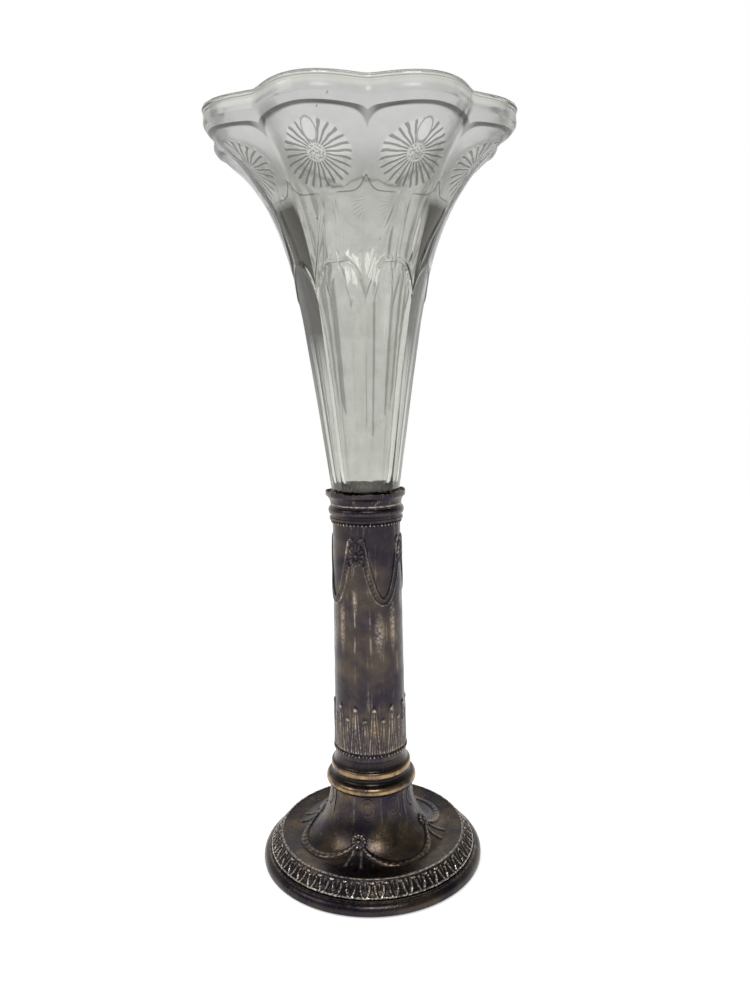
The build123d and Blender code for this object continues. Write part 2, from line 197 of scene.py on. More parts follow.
floor_mesh = bpy.data.meshes.new("floor")
corners = [(-1, -1), (1, -1), (1, 1), (-1, 1)]
floor_points = [(x * floor_half, y * floor_half, -floor_drop) for x, y in corners]
floor_mesh.from_pydata(floor_points, [], [(0, 1, 2, 3)])
floor = bpy.data.objects.new("floor", floor_mesh)
scene.collection.objects.link(floor)
pale_floor, tree, shader = new_finish("pale_floor")
speckle = between(tree, grain(tree, object_place(tree), 9.0), 0.2, 0.8)
rays = add_node(tree, "ShaderNodeLightPath").outputs
seen = calculated(tree, "MAXIMUM", rays["Is Glossy Ray"], rays["Is Transmission Ray"])
seen = calculated(tree, "MAXIMUM", seen, rays["Is Camera Ray"])
fill(tree, shader, {
    "Base Color": blended(tree, speckle, *floor_colours),
    "Roughness": 0.8,
    "Specular IOR Level": 0.1,
    "Emission Color": (1, 1, 1, 1),
    "Emission Strength": times(tree, seen, floor_glow),
})
floor_mesh.materials.append(pale_floor)

world = bpy.data.worlds.new("white_surround")
scene.world = world
world.use_nodes = True
tree = world.node_tree
rays = add_node(tree, "ShaderNodeLightPath").outputs
direction = add_node(tree, "ShaderNodeTexCoord").outputs["Generated"]
parts = add_node(tree, "ShaderNodeSeparateXYZ", {0: direction}).outputs
azimuth = calculated(tree, "ARCTAN2", parts["X"], parts["Y"])
wave = calculated(tree, "COSINE", times(tree, azimuth, box_count))
soft_boxes = between(tree, wave, *gap_edge, gap_level, 1.0)
soft_boxes = times(tree, soft_boxes, between(tree, parts["Z"], *ceiling_edge, 1.0, ceiling_level))
room = between(tree, parts["Y"], *back_edge, front_level, back_level)
room = times(tree, room, between(tree, parts["Z"], *roof_edge, 1.0, roof_level))
shown = ambient_strength
for ray, strength in (("Is Glossy Ray", room), ("Is Transmission Ray", soft_boxes), ("Is Camera Ray", 1.0)):
    shown = add_node(tree, "ShaderNodeMix", {"Factor": rays[ray], 2: shown, 3: strength}).outputs[0]
fill(tree, tree.nodes["Background"], {"Color": (1, 1, 1, 1), "Strength": shown})

lamps = {
    "key_lamp": ((0.05, -0.60, 0.80), 0.30, 2.8),
    "fill_lamp": ((-0.60, -0.25, 0.62), 0.40, 1.4),
}
lamp_target = Vector((0, 0, 0.14))
for name, (place, size, power) in lamps.items():
    lamp = bpy.data.lights.new(name, "AREA")
    lamp.energy = power
    lamp.size = size
    holder = bpy.data.objects.new(name, lamp)
    holder.location = place
    holder.rotation_euler = (lamp_target - Vector(place)).to_track_quat("-Z", "Y").to_euler()
    scene.collection.objects.link(holder)
print("stage: floor, surround and", len(lamps), "lamps")

# %% [markdown]
# ## Shared effects
# The plating has blackened unevenly, run down in streaks and been rubbed off where
# hands and cloths reach. Two node groups hold that: one gives the colour and gloss of
# the tarnish from a mask of what stands proud, the other a fine worn grain for bump.

# %% Tarnish film
tarnish_group, given, result = new_group(
    "tarnish_film",
    [("Raised", 0.5), ("Streaks", 1.0), ("Bare silver", 1.0), ("Rubbed gold", 0.0), ("Warmth", 0.0)],
    [("Color", "NodeSocketColor"), ("Roughness", "NodeSocketFloat")],
)
streak_colour = (0.55, 0.50, 0.42, 1)
hollow_colour = (0.020, 0.018, 0.018, 1)
silver_colour = (0.70, 0.655, 0.58, 1)
gold_colour = (0.50, 0.32, 0.155, 1)
broad_scale, cloud_scale, run_scale, fine_scale, dull_scale = 52.0, 150.0, 620.0, 900.0, 240.0

tree = tarnish_group
place = object_place(tree)
along = object_place(tree, (1.0, 1.0, 0.04))
broad = grain(tree, place, broad_scale, 4.0)
cloud = grain(tree, place, cloud_scale, 4.0)
film = steps(
    tree,
    broad,
    (0.30, (0.026, 0.021, 0.029)),
    (0.42, (0.036, 0.030, 0.038)),
    (0.52, (0.050, 0.042, 0.046)),
    (0.62, (0.072, 0.060, 0.052)),
    (0.74, (0.042, 0.042, 0.050)),
)
warm_film = steps(tree, cloud, (0.35, (0.055, 0.041, 0.033)), (0.65, (0.15, 0.105, 0.060)))
warm_share = times(tree, between(tree, broad, 0.42, 0.62), given.outputs["Warmth"])
film = blended(tree, warm_share, film, warm_film)
runs = between(tree, grain(tree, along, run_scale, 6.0, 0.7), 0.54, 0.74)
where = between(tree, cloud, 0.40, 0.66)
streaks = times(tree, runs, where, given.outputs["Streaks"])
film = blended(tree, streaks, film, streak_colour)
hollow = between(tree, given.outputs["Raised"], 0.48, 0.15)
film = blended(tree, times(tree, hollow, 0.85), film, hollow_colour)
crest = between(tree, given.outputs["Raised"], 0.55, 0.95)
fine = between(tree, grain(tree, place, fine_scale, 3.0), 0.34, 0.66)
silver = times(tree, crest, fine, given.outputs["Bare silver"])
film = blended(tree, silver, film, silver_colour)
rubbed = times(tree, crest, between(tree, cloud, 0.30, 0.62), given.outputs["Rubbed gold"])
film = blended(tree, rubbed, film, gold_colour)
bright = calculated(tree, "MAXIMUM", calculated(tree, "MAXIMUM", streaks, silver), rubbed)
dull = times(tree, grain(tree, place, dull_scale), 0.32)
gloss = calculated(tree, "SUBTRACT", calculated(tree, "ADD", dull, 0.12), times(tree, bright, 0.06))
fill(tree, result, {"Color": film, "Roughness": gloss})
print("group:", tarnish_group.name)

# %% Worn grain
wear_group, given, result = new_group(
    "worn_grain", [("Pits", 0.5), ("Draw lines", 0.5)], [("Height", "NodeSocketFloat")]
)
tree = wear_group
pits = between(tree, grain(tree, object_place(tree), 1500.0, 2.0), 0.30, 0.55)
lines = grain(tree, object_place(tree, (1.0, 1.0, 0.05)), 1300.0, 2.0)
pits = times(tree, pits, given.outputs["Pits"])
height = calculated(tree, "ADD", pits, times(tree, lines, given.outputs["Draw lines"]))
fill(tree, result, {"Height": height})
print("group:", wear_group.name)

# %% [markdown]
# ## Finishes
# Each metal finish places the same two groups with its own values, since the column,
# the foot and the rings were handled differently. The dark film is still metal, so it
# stays fully metallic and only its colour and gloss change.

# %% Plated finishes
wear_strength, wear_depth = 0.35, 0.0001


def plated_finish(name, streaks, silver, gold, warmth, pits, lines):
    """Tarnished silver plate; the raised mask comes from the piece's own vertices."""
    finish, tree, shader = new_finish(name)
    raised = add_node(tree, "ShaderNodeAttribute", attribute_name="raised").outputs["Fac"]
    inputs = {"Raised": raised, "Streaks": streaks, "Bare silver": silver, "Rubbed gold": gold}
    inputs["Warmth"] = warmth
    film = add_node(tree, "ShaderNodeGroup", inputs, node_tree=tarnish_group).outputs
    wear = add_node(tree, "ShaderNodeGroup", {"Pits": pits, "Draw lines": lines}, node_tree=wear_group)
    inputs = {"Strength": wear_strength, "Distance": wear_depth, "Height": wear.outputs[0]}
    bump = add_node(tree, "ShaderNodeBump", inputs)
    fill(tree, shader, {
        "Base Color": film["Color"],
        "Roughness": film["Roughness"],
        "Normal": bump.outputs[0],
        "Metallic": 1.0,
    })
    return finish


column_plate = plated_finish("column_plate", 0.6, 0.6, 0.3, 0.25, 0.5, 0.8)
foot_plate = plated_finish("foot_plate", 0.5, 0.6, 0.25, 0.7, 0.8, 0.3)
border_plate = plated_finish("border_plate", 0.35, 0.9, 0.08, 0.35, 0.7, 0.2)
rubbed_plate = plated_finish("rubbed_plate", 0.4, 0.1, 0.7, 0.6, 0.4, 0.1)
print("plated finishes: column, foot, border, rings")


# %% Hidden pieces
def matt_finish(name, dark, light, scale, roughness, metallic=0.0, bump_distance=0.0002):
    """Plain finish with grain between two colours, for pieces inside and under the vase."""
    finish, tree, shader = new_finish(name)
    spots = grain(tree, object_place(tree), scale, 5.0, 0.65)
    colour = blended(tree, between(tree, spots, 0.3, 0.7), (*dark, 1), (*light, 1))
    bump = add_node(tree, "ShaderNodeBump", {"Strength": 0.5, "Distance": bump_distance, "Height": spots})
    fill(tree, shader, {
        "Base Color": colour,
        "Roughness": roughness,
        "Normal": bump.outputs[0],
        "Metallic": metallic,
    })
    return finish


hidden_finishes = {
    "base_plate": matt_finish("base_brass", (0.16, 0.12, 0.06), (0.36, 0.27, 0.14), 120.0, 0.45, 1.0),
    "rod_bridge": matt_finish("bridge_brass", (0.25, 0.18, 0.08), (0.42, 0.32, 0.16), 200.0, 0.4, 1.0),
    "tie_rod": matt_finish("rod_steel", (0.20, 0.20, 0.21), (0.36, 0.36, 0.37), 400.0, 0.4, 1.0),
    "plaster_filling": matt_finish("foot_plaster", (0.66, 0.63, 0.57), (0.80, 0.78, 0.72), 300.0, 0.9),
    "cork_seat": matt_finish("seat_cork", (0.25, 0.14, 0.07), (0.55, 0.37, 0.21), 700.0, 0.85),
    "baize_disc": matt_finish("green_baize", (0.018, 0.060, 0.032), (0.045, 0.115, 0.062), 1600.0, 0.95),
}
hidden_finishes["seat_ring"] = hidden_finishes["rod_bridge"]
hidden_finishes["rod_nut"] = hidden_finishes["tie_rod"]
hidden_finishes["rod_washer"] = hidden_finishes["tie_rod"]
for node_name, finish in hidden_finishes.items():
    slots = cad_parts[node_name].data.materials
    slots.clear()
    slots.append(finish)
print("hidden pieces finished:", len(hidden_finishes))

# %% [markdown]
# ## Pressed glass
# The glass is one clear material. The mould's fine lines would need a very dense mesh, so
# the mesh only carries the large forms, and its vertices carry distances in millimetres:
# below the arch, below the window's top, from the stalk and so on. The shader turns
# those distances into crisp lines of painted shade, where the pressed edges darken the glass
# by refraction, and one painted highlight line above the window's top. The daisy is drawn
# the same way from a UV map in mm, its grooves as painted shade.


# %% Daisy lines
def make_daisy_group(petals, button, reach_out, loop_rise, loop_half):
    """Group that draws a daisy from a place in mm: a groove mask for painted shade, the petal disc and a
    height.
    """
    inputs = [("Across", 0.0), ("Up", 0.0)]
    outputs = [("Groove shade", "NodeSocketFloat"), ("Petals", "NodeSocketFloat"), ("Height", "NodeSocketFloat")]
    group, given, result = new_group("daisy_lines", inputs, outputs)
    x, y = given.outputs["Across"], given.outputs["Up"]
    place = add_node(group, "ShaderNodeCombineXYZ", {"X": x, "Y": y}).outputs[0]
    reach = add_node(group, "ShaderNodeVectorMath", {0: place}, operation="LENGTH").outputs["Value"]
    turn = calculated(group, "ARCTAN2", y, x)
    unrest = calculated(group, "SUBTRACT", grain(group, place, 0.22, 1.0), 0.5)
    bent = calculated(group, "ADD", turn, times(group, unrest, 0.12))
    wave = calculated(group, "SINE", times(group, bent, petals / 2))
    away = times(group, calculated(group, "ABSOLUTE", wave), reach)
    away = calculated(group, "DIVIDE", away, petals / 2)
    half = calculated(group, "ADD", times(group, reach, 0.030), 0.04)
    line = between(group, away, calculated(group, "ADD", half, 0.16), half)
    uneven = calculated(group, "ADD", reach, times(group, unrest, 2.5))
    line = times(group, line, between(group, reach, button, button + 0.7))
    line = times(group, line, between(group, uneven, reach_out, reach_out - 1.0))
    loop_x = calculated(group, "DIVIDE", x, loop_half[0])
    loop_y = calculated(group, "DIVIDE", calculated(group, "SUBTRACT", y, loop_rise), loop_half[1])
    loop_place = add_node(group, "ShaderNodeCombineXYZ", {"X": loop_x, "Y": loop_y}).outputs[0]
    loop = add_node(group, "ShaderNodeVectorMath", {0: loop_place}, operation="LENGTH").outputs["Value"]
    ring = times(group, between(group, loop, 0.84, 0.95), between(group, loop, 1.14, 1.02))
    line = times(group, line, between(group, loop, 1.0, 1.1))
    pebbles = between(group, grain(group, place, 1.1, 1.0), 0.50, 0.58)
    pebbles = times(group, pebbles, between(group, reach, button + 0.2, button - 0.4))
    # The grooves, the loop petal's outline and the button's pebbles: sunk in the height, and dark as
    # painted shade.
    grooves = calculated(group, "MAXIMUM", line, times(group, ring, 0.75))
    grooves = calculated(group, "MAXIMUM", grooves, times(group, pebbles, 0.8))
    disc = between(group, uneven, reach_out + 0.4, reach_out - 1.2)
    height = calculated(group, "SUBTRACT", 1.0, grooves)
    fill(group, result, {"Groove shade": grooves, "Petals": disc, "Height": height})
    return group


petal_count = 26
flower_reach, button_reach = 13.6, 3.2
top_petal_rise, top_petal_half = 8.9, (2.5, 4.8)
daisy_group = make_daisy_group(petal_count, button_reach, flower_reach, top_petal_rise, top_petal_half)
print("group:", daisy_group.name, "with", petal_count, "petals")

# %% Pressed glass
clear_roughness = 0.045
satin_roughness = 0.26
clear_tints = ((0.76, 0.765, 0.75, 1), (0.68, 0.685, 0.665, 1))
satin_and_caustic_tints = ((0.46, 0.46, 0.475, 1), (0.64, 0.63, 0.57, 1))
shade_and_speck_tint = (0.008, 0.0072, 0.0040, 1)
slant_shade_tint = (0.0050, 0.0038, 0.0012, 1)
mark_titles = (
    "satin", "arch_depth", "arch_width", "ogee_depth",
    "facet_depth", "seam_away", "stalk_away", "slant_shade_zone",
)

glass_finish, tree, shader = new_finish("pressed_glass")
marks = {}
for title in mark_titles:
    marks[title] = add_node(tree, "ShaderNodeAttribute", attribute_name=title).outputs["Fac"]
flat_place = add_node(tree, "ShaderNodeUVMap", uv_map="lobe_place").outputs[0]
flat_place = add_node(tree, "ShaderNodeSeparateXYZ", {0: flat_place}).outputs
inputs = {"Across": flat_place[0], "Up": flat_place[1]}
daisy = add_node(tree, "ShaderNodeGroup", inputs, node_tree=daisy_group)
level = add_node(tree, "ShaderNodeSeparateXYZ", {0: object_place(tree)}).outputs["Z"]


def line_mask(distance, width, soft=0.18):
    """1 from a distance of 0 up to a width, with soft edges."""
    begins = between(tree, distance, -soft, soft)
    ends = between(tree, distance, calculated(tree, "ADD", width, soft), width)
    return times(tree, begins, ends)


print("marks that the glass reads:", len(marks))

# %% Painted shade lines in the glass
facet_shade_levels = (0.2525, 0.258)
rim_shade_levels = (0.3177, 0.3180, 0.3185)
ogee_width_in, ogee_width_out, facet_width, stalk_width = 0.4, 0.6, 0.3, 0.2

# Painted shade: a dark crescent under each arch, widening to a drop at the seams, where the arch's edge
# darkens the glass.
arch_shade_core = times(tree, marks["arch_width"], 0.55)
near_seam = between(tree, marks["seam_away"], 4.0, 0.0)
arch_shade = times(
    tree,
    between(tree, marks["arch_depth"], -0.1, 0.15),
    between(tree, marks["arch_depth"], marks["arch_width"], arch_shade_core),
    calculated(tree, "SUBTRACT", 1.0, times(tree, near_seam, 0.35)),
)
# Painted shade: a dark line at the window's top; above it a painted highlight line, where the step catches
# light.
ogee_shade_line = line_mask(marks["ogee_depth"], ogee_width_in)
ogee_shade_line = times(tree, ogee_shade_line, between(tree, marks["stalk_away"], 1.0, 4.0))
ogee_highlight = line_mask(calculated(tree, "SUBTRACT", -0.1, marks["ogee_depth"]), ogee_width_out)
# Painted shade: dark lines along the facet's arched top and the stalk's edges.
facet_shade_line = line_mask(marks["facet_depth"], facet_width)
facet_shade_line = times(tree, facet_shade_line, between(tree, level, *facet_shade_levels))
stalk_shade_line = times(
    tree,
    line_mask(marks["stalk_away"], stalk_width),
    between(tree, marks["ogee_depth"], 0.0, 1.0),
    between(tree, marks["ogee_depth"], 6.0, 1.5),
)
# Painted shade: a thin dark line just under the rounded rim.
rim_shade_line = between(tree, level, *rim_shade_levels[:2])
rim_shade_line = times(tree, rim_shade_line, between(tree, level, *rim_shade_levels[:0:-1]))
# Each painted shade line with its share of the near-black tint; dark gathers them with the daisy's groove
# shade.
shade_line_shares = (
    (arch_shade, 0.97), (ogee_shade_line, 0.85), (facet_shade_line, 0.55), (stalk_shade_line, 0.45), (rim_shade_line, 0.75),
)
dark = times(tree, daisy.outputs["Groove shade"], 0.82)
for mask, share in shade_line_shares:
    dark = calculated(tree, "MAXIMUM", dark, times(tree, mask, share))
print("dark lines:", len(shade_line_shares), "and the daisy")

# %% [markdown]
# ## Tints of the glass
# A satin band runs round the mouth, with a painted caustic that makes it paler and beige
# towards the rim. Where the far wall is seen from its inside, most of its satin and painted
# shade is taken out, a painted lightening for light that comes through it from behind.
# Side facets that are seen at a slant get a painted dark olive shade, for the dark
# refractions at their edges.

# %% Tints of the glass
caustic_band_levels = (0.3150, 0.3165)
backlight_lightening = 0.8
haze_scale, speck_scale = 130.0, 420.0

haze = between(tree, grain(tree, object_place(tree), haze_scale), 0.35, 0.7)
clear_tint = blended(tree, haze, *clear_tints)
# Painted caustic: the satin tint turns paler and beige towards the rim.
satin_and_caustic_tint = blended(tree, between(tree, level, *caustic_band_levels), *satin_and_caustic_tints)
# Less satin on the daisy's disc, which is clear glass, and on the painted highlight line above the window's
# top.
petal_light = times(tree, daisy.outputs["Petals"], 0.5)
lighter = calculated(tree, "MAXIMUM", petal_light, times(tree, ogee_highlight, 0.8))
# Painted light: the far wall, seen from inside, loses most of its satin and painted shade, as if lit
# through from behind.
from_inside = add_node(tree, "ShaderNodeNewGeometry").outputs["Backfacing"]
not_backlit = calculated(tree, "SUBTRACT", 1.0, times(tree, from_inside, backlight_lightening))
satin = times(tree, marks["satin"], calculated(tree, "SUBTRACT", 1.0, lighter), not_backlit)
dark = times(tree, dark, not_backlit)
tint = blended(tree, satin, clear_tint, satin_and_caustic_tint)
# Dark specks in the glass, in the same near-black tint as the painted shade lines.
specks = between(tree, grain(tree, object_place(tree), speck_scale, 1.0), 0.80, 0.84)
tint = blended(tree, calculated(tree, "MAXIMUM", dark, times(tree, specks, 0.8)), tint, shade_and_speck_tint)
# Painted shade: dark olive on side facets seen at a slant, standing in for dark refractions at their edges.
facing = add_node(tree, "ShaderNodeLayerWeight", {"Blend": 0.5}).outputs["Facing"]
slant_shade = times(tree, between(tree, facing, 0.24, 0.36), between(tree, facing, 0.86, 0.70))
slant_shade = times(tree, slant_shade, marks["slant_shade_zone"])
tint = blended(tree, slant_shade, tint, slant_shade_tint)
sheen = times(tree, satin, satin_roughness - clear_roughness)
sheen = calculated(tree, "ADD", sheen, clear_roughness)
fill(tree, shader, {"Base Color": tint, "Roughness": sheen})
print("tints of the glass: clear, satin, groove and olive")

# %% Glass ripple and thickness
ripple_strength, ripple_depth = 0.25, 0.0004
daisy_strength, daisy_depth = 0.45, 0.0003
glass_colour, glass_density, glass_index = (0.36, 0.37, 0.14, 1), 34.0, 1.5
ripple_scale = 110.0

ripple = grain(tree, object_place(tree, (1.0, 1.0, 0.6)), ripple_scale, 2.0)
inputs = {"Strength": ripple_strength, "Distance": ripple_depth, "Height": ripple}
wavy = add_node(tree, "ShaderNodeBump", inputs).outputs[0]
inputs = {"Strength": daisy_strength, "Distance": daisy_depth, "Normal": wavy}
inputs["Height"] = daisy.outputs["Height"]
pressed = add_node(tree, "ShaderNodeBump", inputs).outputs[0]
fill(tree, shader, {"Normal": pressed, "Transmission Weight": 1.0, "IOR": glass_index})
absorb = add_node(tree, "ShaderNodeVolumeAbsorption", {"Color": glass_colour, "Density": glass_density})
fill(tree, tree.nodes["Material Output"], {"Volume": absorb.outputs[0]})
print("glass:", glass_finish.name, "with", daisy_group.name)

# %% [markdown]
# ## Repeating round the axis
# Everything on this vase repeats round its axis: lobes, rosettes, leaves, beads. So each
# piece is drawn once, as one sector, and a Geometry Nodes tree sets the copies round,
# makes them real, welds their edges and gives them their finish. An array modifier
# could do the same, but the tree keeps count, turn and weld as plain inputs.


# %% Repeat tree
def make_repeat_tree():
    """Geometry Nodes tree that sets copies of a sector round the axis as one welded piece."""
    tree = bpy.data.node_groups.new("repeat_round_axis", "GeometryNodeTree")
    sockets = {
        "Sector": "NodeSocketGeometry",
        "Count": "NodeSocketInt",
        "First turn": "NodeSocketFloat",
        "Weld": "NodeSocketFloat",
        "Finish": "NodeSocketMaterial",
    }
    for title, kind in sockets.items():
        tree.interface.new_socket(title, in_out="INPUT", socket_type=kind)
    tree.interface.new_socket("Piece", in_out="OUTPUT", socket_type="NodeSocketGeometry")
    given = tree.nodes.new("NodeGroupInput").outputs
    points = add_node(tree, "GeometryNodePoints", {"Count": given["Count"]}).outputs[0]
    index = add_node(tree, "GeometryNodeInputIndex").outputs[0]
    step = calculated(tree, "DIVIDE", 2 * math.pi, given["Count"])
    turn = calculated(tree, "ADD", times(tree, index, step), given["First turn"])
    spin = add_node(tree, "ShaderNodeCombineXYZ", {"Z": turn}).outputs[0]
    inputs = {"Points": points, "Instance": given["Sector"], "Rotation": spin}
    copies = add_node(tree, "GeometryNodeInstanceOnPoints", inputs).outputs[0]
    real = add_node(tree, "GeometryNodeRealizeInstances", {0: copies}).outputs[0]
    inputs = {"Geometry": real, "Distance": given["Weld"]}
    whole = add_node(tree, "GeometryNodeMergeByDistance", inputs).outputs[0]
    inputs = {"Geometry": whole, "Material": given["Finish"]}
    finished = add_node(tree, "GeometryNodeSetMaterial", inputs).outputs[0]
    add_node(tree, "NodeGroupOutput", {0: finished})
    return tree


repeat_tree = make_repeat_tree()
weld_distance = 0.004 * mm
print("tree:", repeat_tree.name)


# %% Sector meshes
def row_faces(low, high, low_fine, high_fine):
    """Faces between two rows of points. A row that isn't fine keeps every second point."""
    if low_fine and high_fine:
        return list(zip(low[:-1], low[1:], high[1:], high[:-1]))
    a, b = low[::2], high[::2]
    if not low_fine and not high_fine:
        return list(zip(a[:-1], a[1:], b[1:], b[:-1]))
    if low_fine:
        return list(zip(a[:-1], low[1::2], a[1:], b[1:], b[:-1]))
    return list(zip(a[:-1], a[1:], b[1:], high[1::2], b[:-1]))


def sector_mesh(name, points, masks, fine=None, flat_place=None):
    """Mesh of a closed loop of rows; points are rows by columns in mm, masks ride on the vertices."""
    rows, columns = points.shape[:2]
    index = np.arange(rows * columns).reshape(rows, columns)
    fine = np.ones(rows, bool) if fine is None else fine
    faces = []
    for row in range(rows):
        after = (row + 1) % rows
        faces += row_faces(index[row], index[after], fine[row], fine[after])
    used = np.unique(np.concatenate([np.array(face) for face in faces]))
    new_place = np.zeros(rows * columns, int)
    new_place[used] = np.arange(len(used))
    mesh = bpy.data.meshes.new(name)
    corners = (points.reshape(-1, 3)[used] * mm).tolist()
    mesh.from_pydata(corners, [], [new_place[list(face)].tolist() for face in faces])
    for title, mask in masks.items():
        values = np.broadcast_to(mask, (rows, columns)).ravel()[used].astype(np.float32)
        mesh.attributes.new(title, "FLOAT", "POINT").data.foreach_set("value", values)
    if flat_place is not None:
        corner_vertices = np.zeros(len(mesh.loops), np.int32)
        mesh.loops.foreach_get("vertex_index", corner_vertices)
        values = flat_place.reshape(-1, 2)[used][corner_vertices].astype(np.float32)
        mesh.uv_layers.new(name="lobe_place").uv.foreach_set("vector", values.ravel())
    return mesh


def set_round(name, sector, count, first_turn, finish, sharp_angle=180.0):
    """Piece made of copies of a sector, with the first one turned by an angle in degrees."""
    piece = bpy.data.objects.new(name, sector)
    scene.collection.objects.link(piece)
    modifier = piece.modifiers.new("repeat", "NODES")
    modifier.node_group = repeat_tree
    values = {"Count": count, "Weld": weld_distance, "Finish": finish}
    values["First turn"] = math.radians(first_turn)
    for item in repeat_tree.interface.items_tree:
        if item.name in values:
            modifier[item.identifier] = values[item.name]
    evaluated = piece.evaluated_get(bpy.context.evaluated_depsgraph_get())
    whole = bpy.data.meshes.new_from_object(evaluated)
    piece.modifiers.clear()
    piece.data = whole
    whole.name = name
    whole.shade_smooth()
    whole.set_sharp_from_angle(angle=math.radians(sharp_angle))
    return piece


def on_stand(piece, slot, *nodes, body="stand"):
    """The piece stands for CAD nodes and rides on their body; the slot argument is not used."""
    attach(piece, body)
    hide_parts(*nodes)
    print(piece.name, "faces:", len(piece.data.polygons))


# %% [markdown]
# ## Drawing relief
# Stamped and pressed ornament is a height over a plain surface. The helpers here draw
# heights on a grid: a soft step, a rounded ridge, a rosette, the distance to a drawn
# line. The grid is then bent round the axis and pushed out along the surface.


# %% Relief helpers
def soft_step(low, high, value):
    """0 below low, 1 above high, smooth between; low may be the larger of the two."""
    share = np.clip((value - low) / (high - low), 0, 1)
    return share * share * (3 - 2 * share)


def ridge(distance, half_width):
    """Rounded ridge, 1 on its line and 0 at its half width."""
    return np.sqrt(np.clip(1 - (distance / half_width) ** 2, 0, 1))


def line_distance(x, y, line_x, line_y):
    """Distance to a line through points, and the length along the line to the nearest place."""
    nearest = np.full(np.broadcast(x, y).shape, np.inf)
    length = np.zeros_like(nearest)
    so_far = 0.0
    for ax, ay, bx, by in zip(line_x[:-1], line_y[:-1], line_x[1:], line_y[1:]):
        run = math.hypot(bx - ax, by - ay)
        share = np.clip(((x - ax) * (bx - ax) + (y - ay) * (by - ay)) / run**2, 0, 1)
        away = np.hypot(x - ax - share * (bx - ax), y - ay - share * (by - ay))
        closer = away < nearest
        nearest = np.where(closer, away, nearest)
        length = np.where(closer, so_far + share * run, length)
        so_far += run
    return nearest, length


def rosette(x, y, half_width, half_height, petals):
    """Flower of raised petals round a button, oval if the two halves differ."""
    reach = np.hypot(x / half_width, y / half_height)
    turn = np.arctan2(y / half_height, x / half_width)
    petal = 0.45 + 0.55 * np.abs(np.cos(petals * turn / 2))
    leaves = petal * soft_step(1.02, 0.84, reach) * soft_step(0.28, 0.42, reach)
    return np.maximum(0.85 * leaves, ridge(reach, 0.3))


def crest_mask(height, reach, gain):
    """0.5 where a relief is plain, 1 on its crests and 0 in its hollows."""
    around = np.zeros_like(height)
    shifts = [(a, b) for a in range(-reach, reach + 1) for b in range(-reach, reach + 1)]
    padded = np.pad(height, reach, mode="edge")
    rows, columns = height.shape
    for a, b in shifts:
        around += padded[reach + a:reach + a + rows, reach + b:reach + b + columns]
    return np.clip(0.5 + gain * (height - around / len(shifts)), 0, 1)


def bent_round(radius, height, angle):
    """Points in mm from radius, height and angle in radians from the front."""
    across = radius * np.sin(angle)
    depth = -radius * np.cos(angle)
    return np.stack(np.broadcast_arrays(across, depth, height), axis=-1)


def profile_normals(radius, height):
    """Outward direction (in radius, in height) along a profile that runs up the outside."""
    along_r = np.gradient(radius)
    along_z = np.gradient(height)
    length = np.hypot(along_r, along_z)
    return along_z / length, -along_r / length


def arc_length(radius, height):
    """Length along a profile up to each of its points."""
    return np.concatenate([[0], np.cumsum(np.hypot(np.diff(radius), np.diff(height)))])


def even_profile(radius, height, count):
    """The same profile with points at even distances."""
    length = arc_length(radius, height)
    places = np.linspace(0, length[-1], count)
    return np.interp(places, length, radius), np.interp(places, length, height)


# %% [markdown]
# ## Column tube
# The tube was rolled from a strip that carries its ornament: four oval rosettes, swags
# that hang between them and a collar of twelve upright leaves. One quarter holds a
# rosette, half a swag on each side and three leaves, so a quarter is drawn.

# %% Column tube
tube_foot, tube_head = 49.9, 156.9
foot_radius, head_radius = 16.05, 14.75
sheet = 0.8
quarter = math.pi / 4
tube_columns, tube_rows = 97, 220
rosette_turn = -18.0
rosette_level = 143.0
rosette_half = (3.6, 5.4)
rosette_petals = 12
swag_low, swag_top = 122.2, 148.5
swag_half_angle = math.radians(36.0)
swag_half_width, swag_power = 1.75, 2.2
swag_edge_away, swag_edge_half, swag_field_away = 1.25, 0.5, 1.2
husk_pitch, husk_half = 1.9, 1.0
leaf_foot, leaf_tip = 54.3, 76.1
leaf_half_width, leaf_rib_half, leaf_curl_half = 3.3, 0.45, 1.7
flute_pitch, flute_slant = 1.15, 1.6
lower_leaf_drop, lower_leaf_lift = 5.5, 0.6
leaf_half_angle = math.radians(15.0)
leaf_shift = math.radians(-5.0)
plain_level = 100.0
oval_out, swag_out, leaf_out, dent_out = 0.7, 0.6, 0.6, 0.04
dent_levels = (80, 90)
leaf_rub_drop = 5.0
swag_shine, leaf_shine, leaf_rub, patch_rub = 0.45, 0.9, 0.10, 0.27
# Worn patches: degrees from the rosette, height, half width and half height
worn_patches = (
    (37.0, 108.0, 4.6, 18.0),
    (-3.0, 122.0, 2.2, 10.0),
    (-14.0, 146.0, 1.8, 9.0),
    (62.0, 112.0, 3.0, 24.0),
)

tube_z = np.linspace(tube_foot, tube_head, tube_rows)[:, None]
tube_turn = np.linspace(-quarter, quarter, tube_columns)[None, :]
tube_r = foot_radius + (head_radius - foot_radius) * (tube_z - tube_foot) / (tube_head - tube_foot)
tube_x = tube_turn * tube_r


def swag_height():
    """Husk swags as a double line with leaves between, half of one on each side."""
    share = np.linspace(-1, 1, 61)
    level = swag_low + (swag_top - swag_low) * np.abs(share) ** swag_power
    height = np.zeros_like(tube_x)
    for side in (-1, 1):
        middle = tube_x - side * quarter * tube_r
        away, along = line_distance(middle, tube_z, share * swag_half_angle * head_radius, level)
        edges = ridge(np.abs(away - swag_edge_away), swag_edge_half)
        husks = (0.5 + 0.5 * np.cos(2 * math.pi * (along - away) / husk_pitch)) * ridge(away, husk_half)
        band = np.maximum(edges, 0.75 * husks) * (away < swag_half_width)
        field = 0.45 * soft_step(swag_half_width, swag_field_away, away)
        height = np.maximum.reduce([height, band, field])
    return height


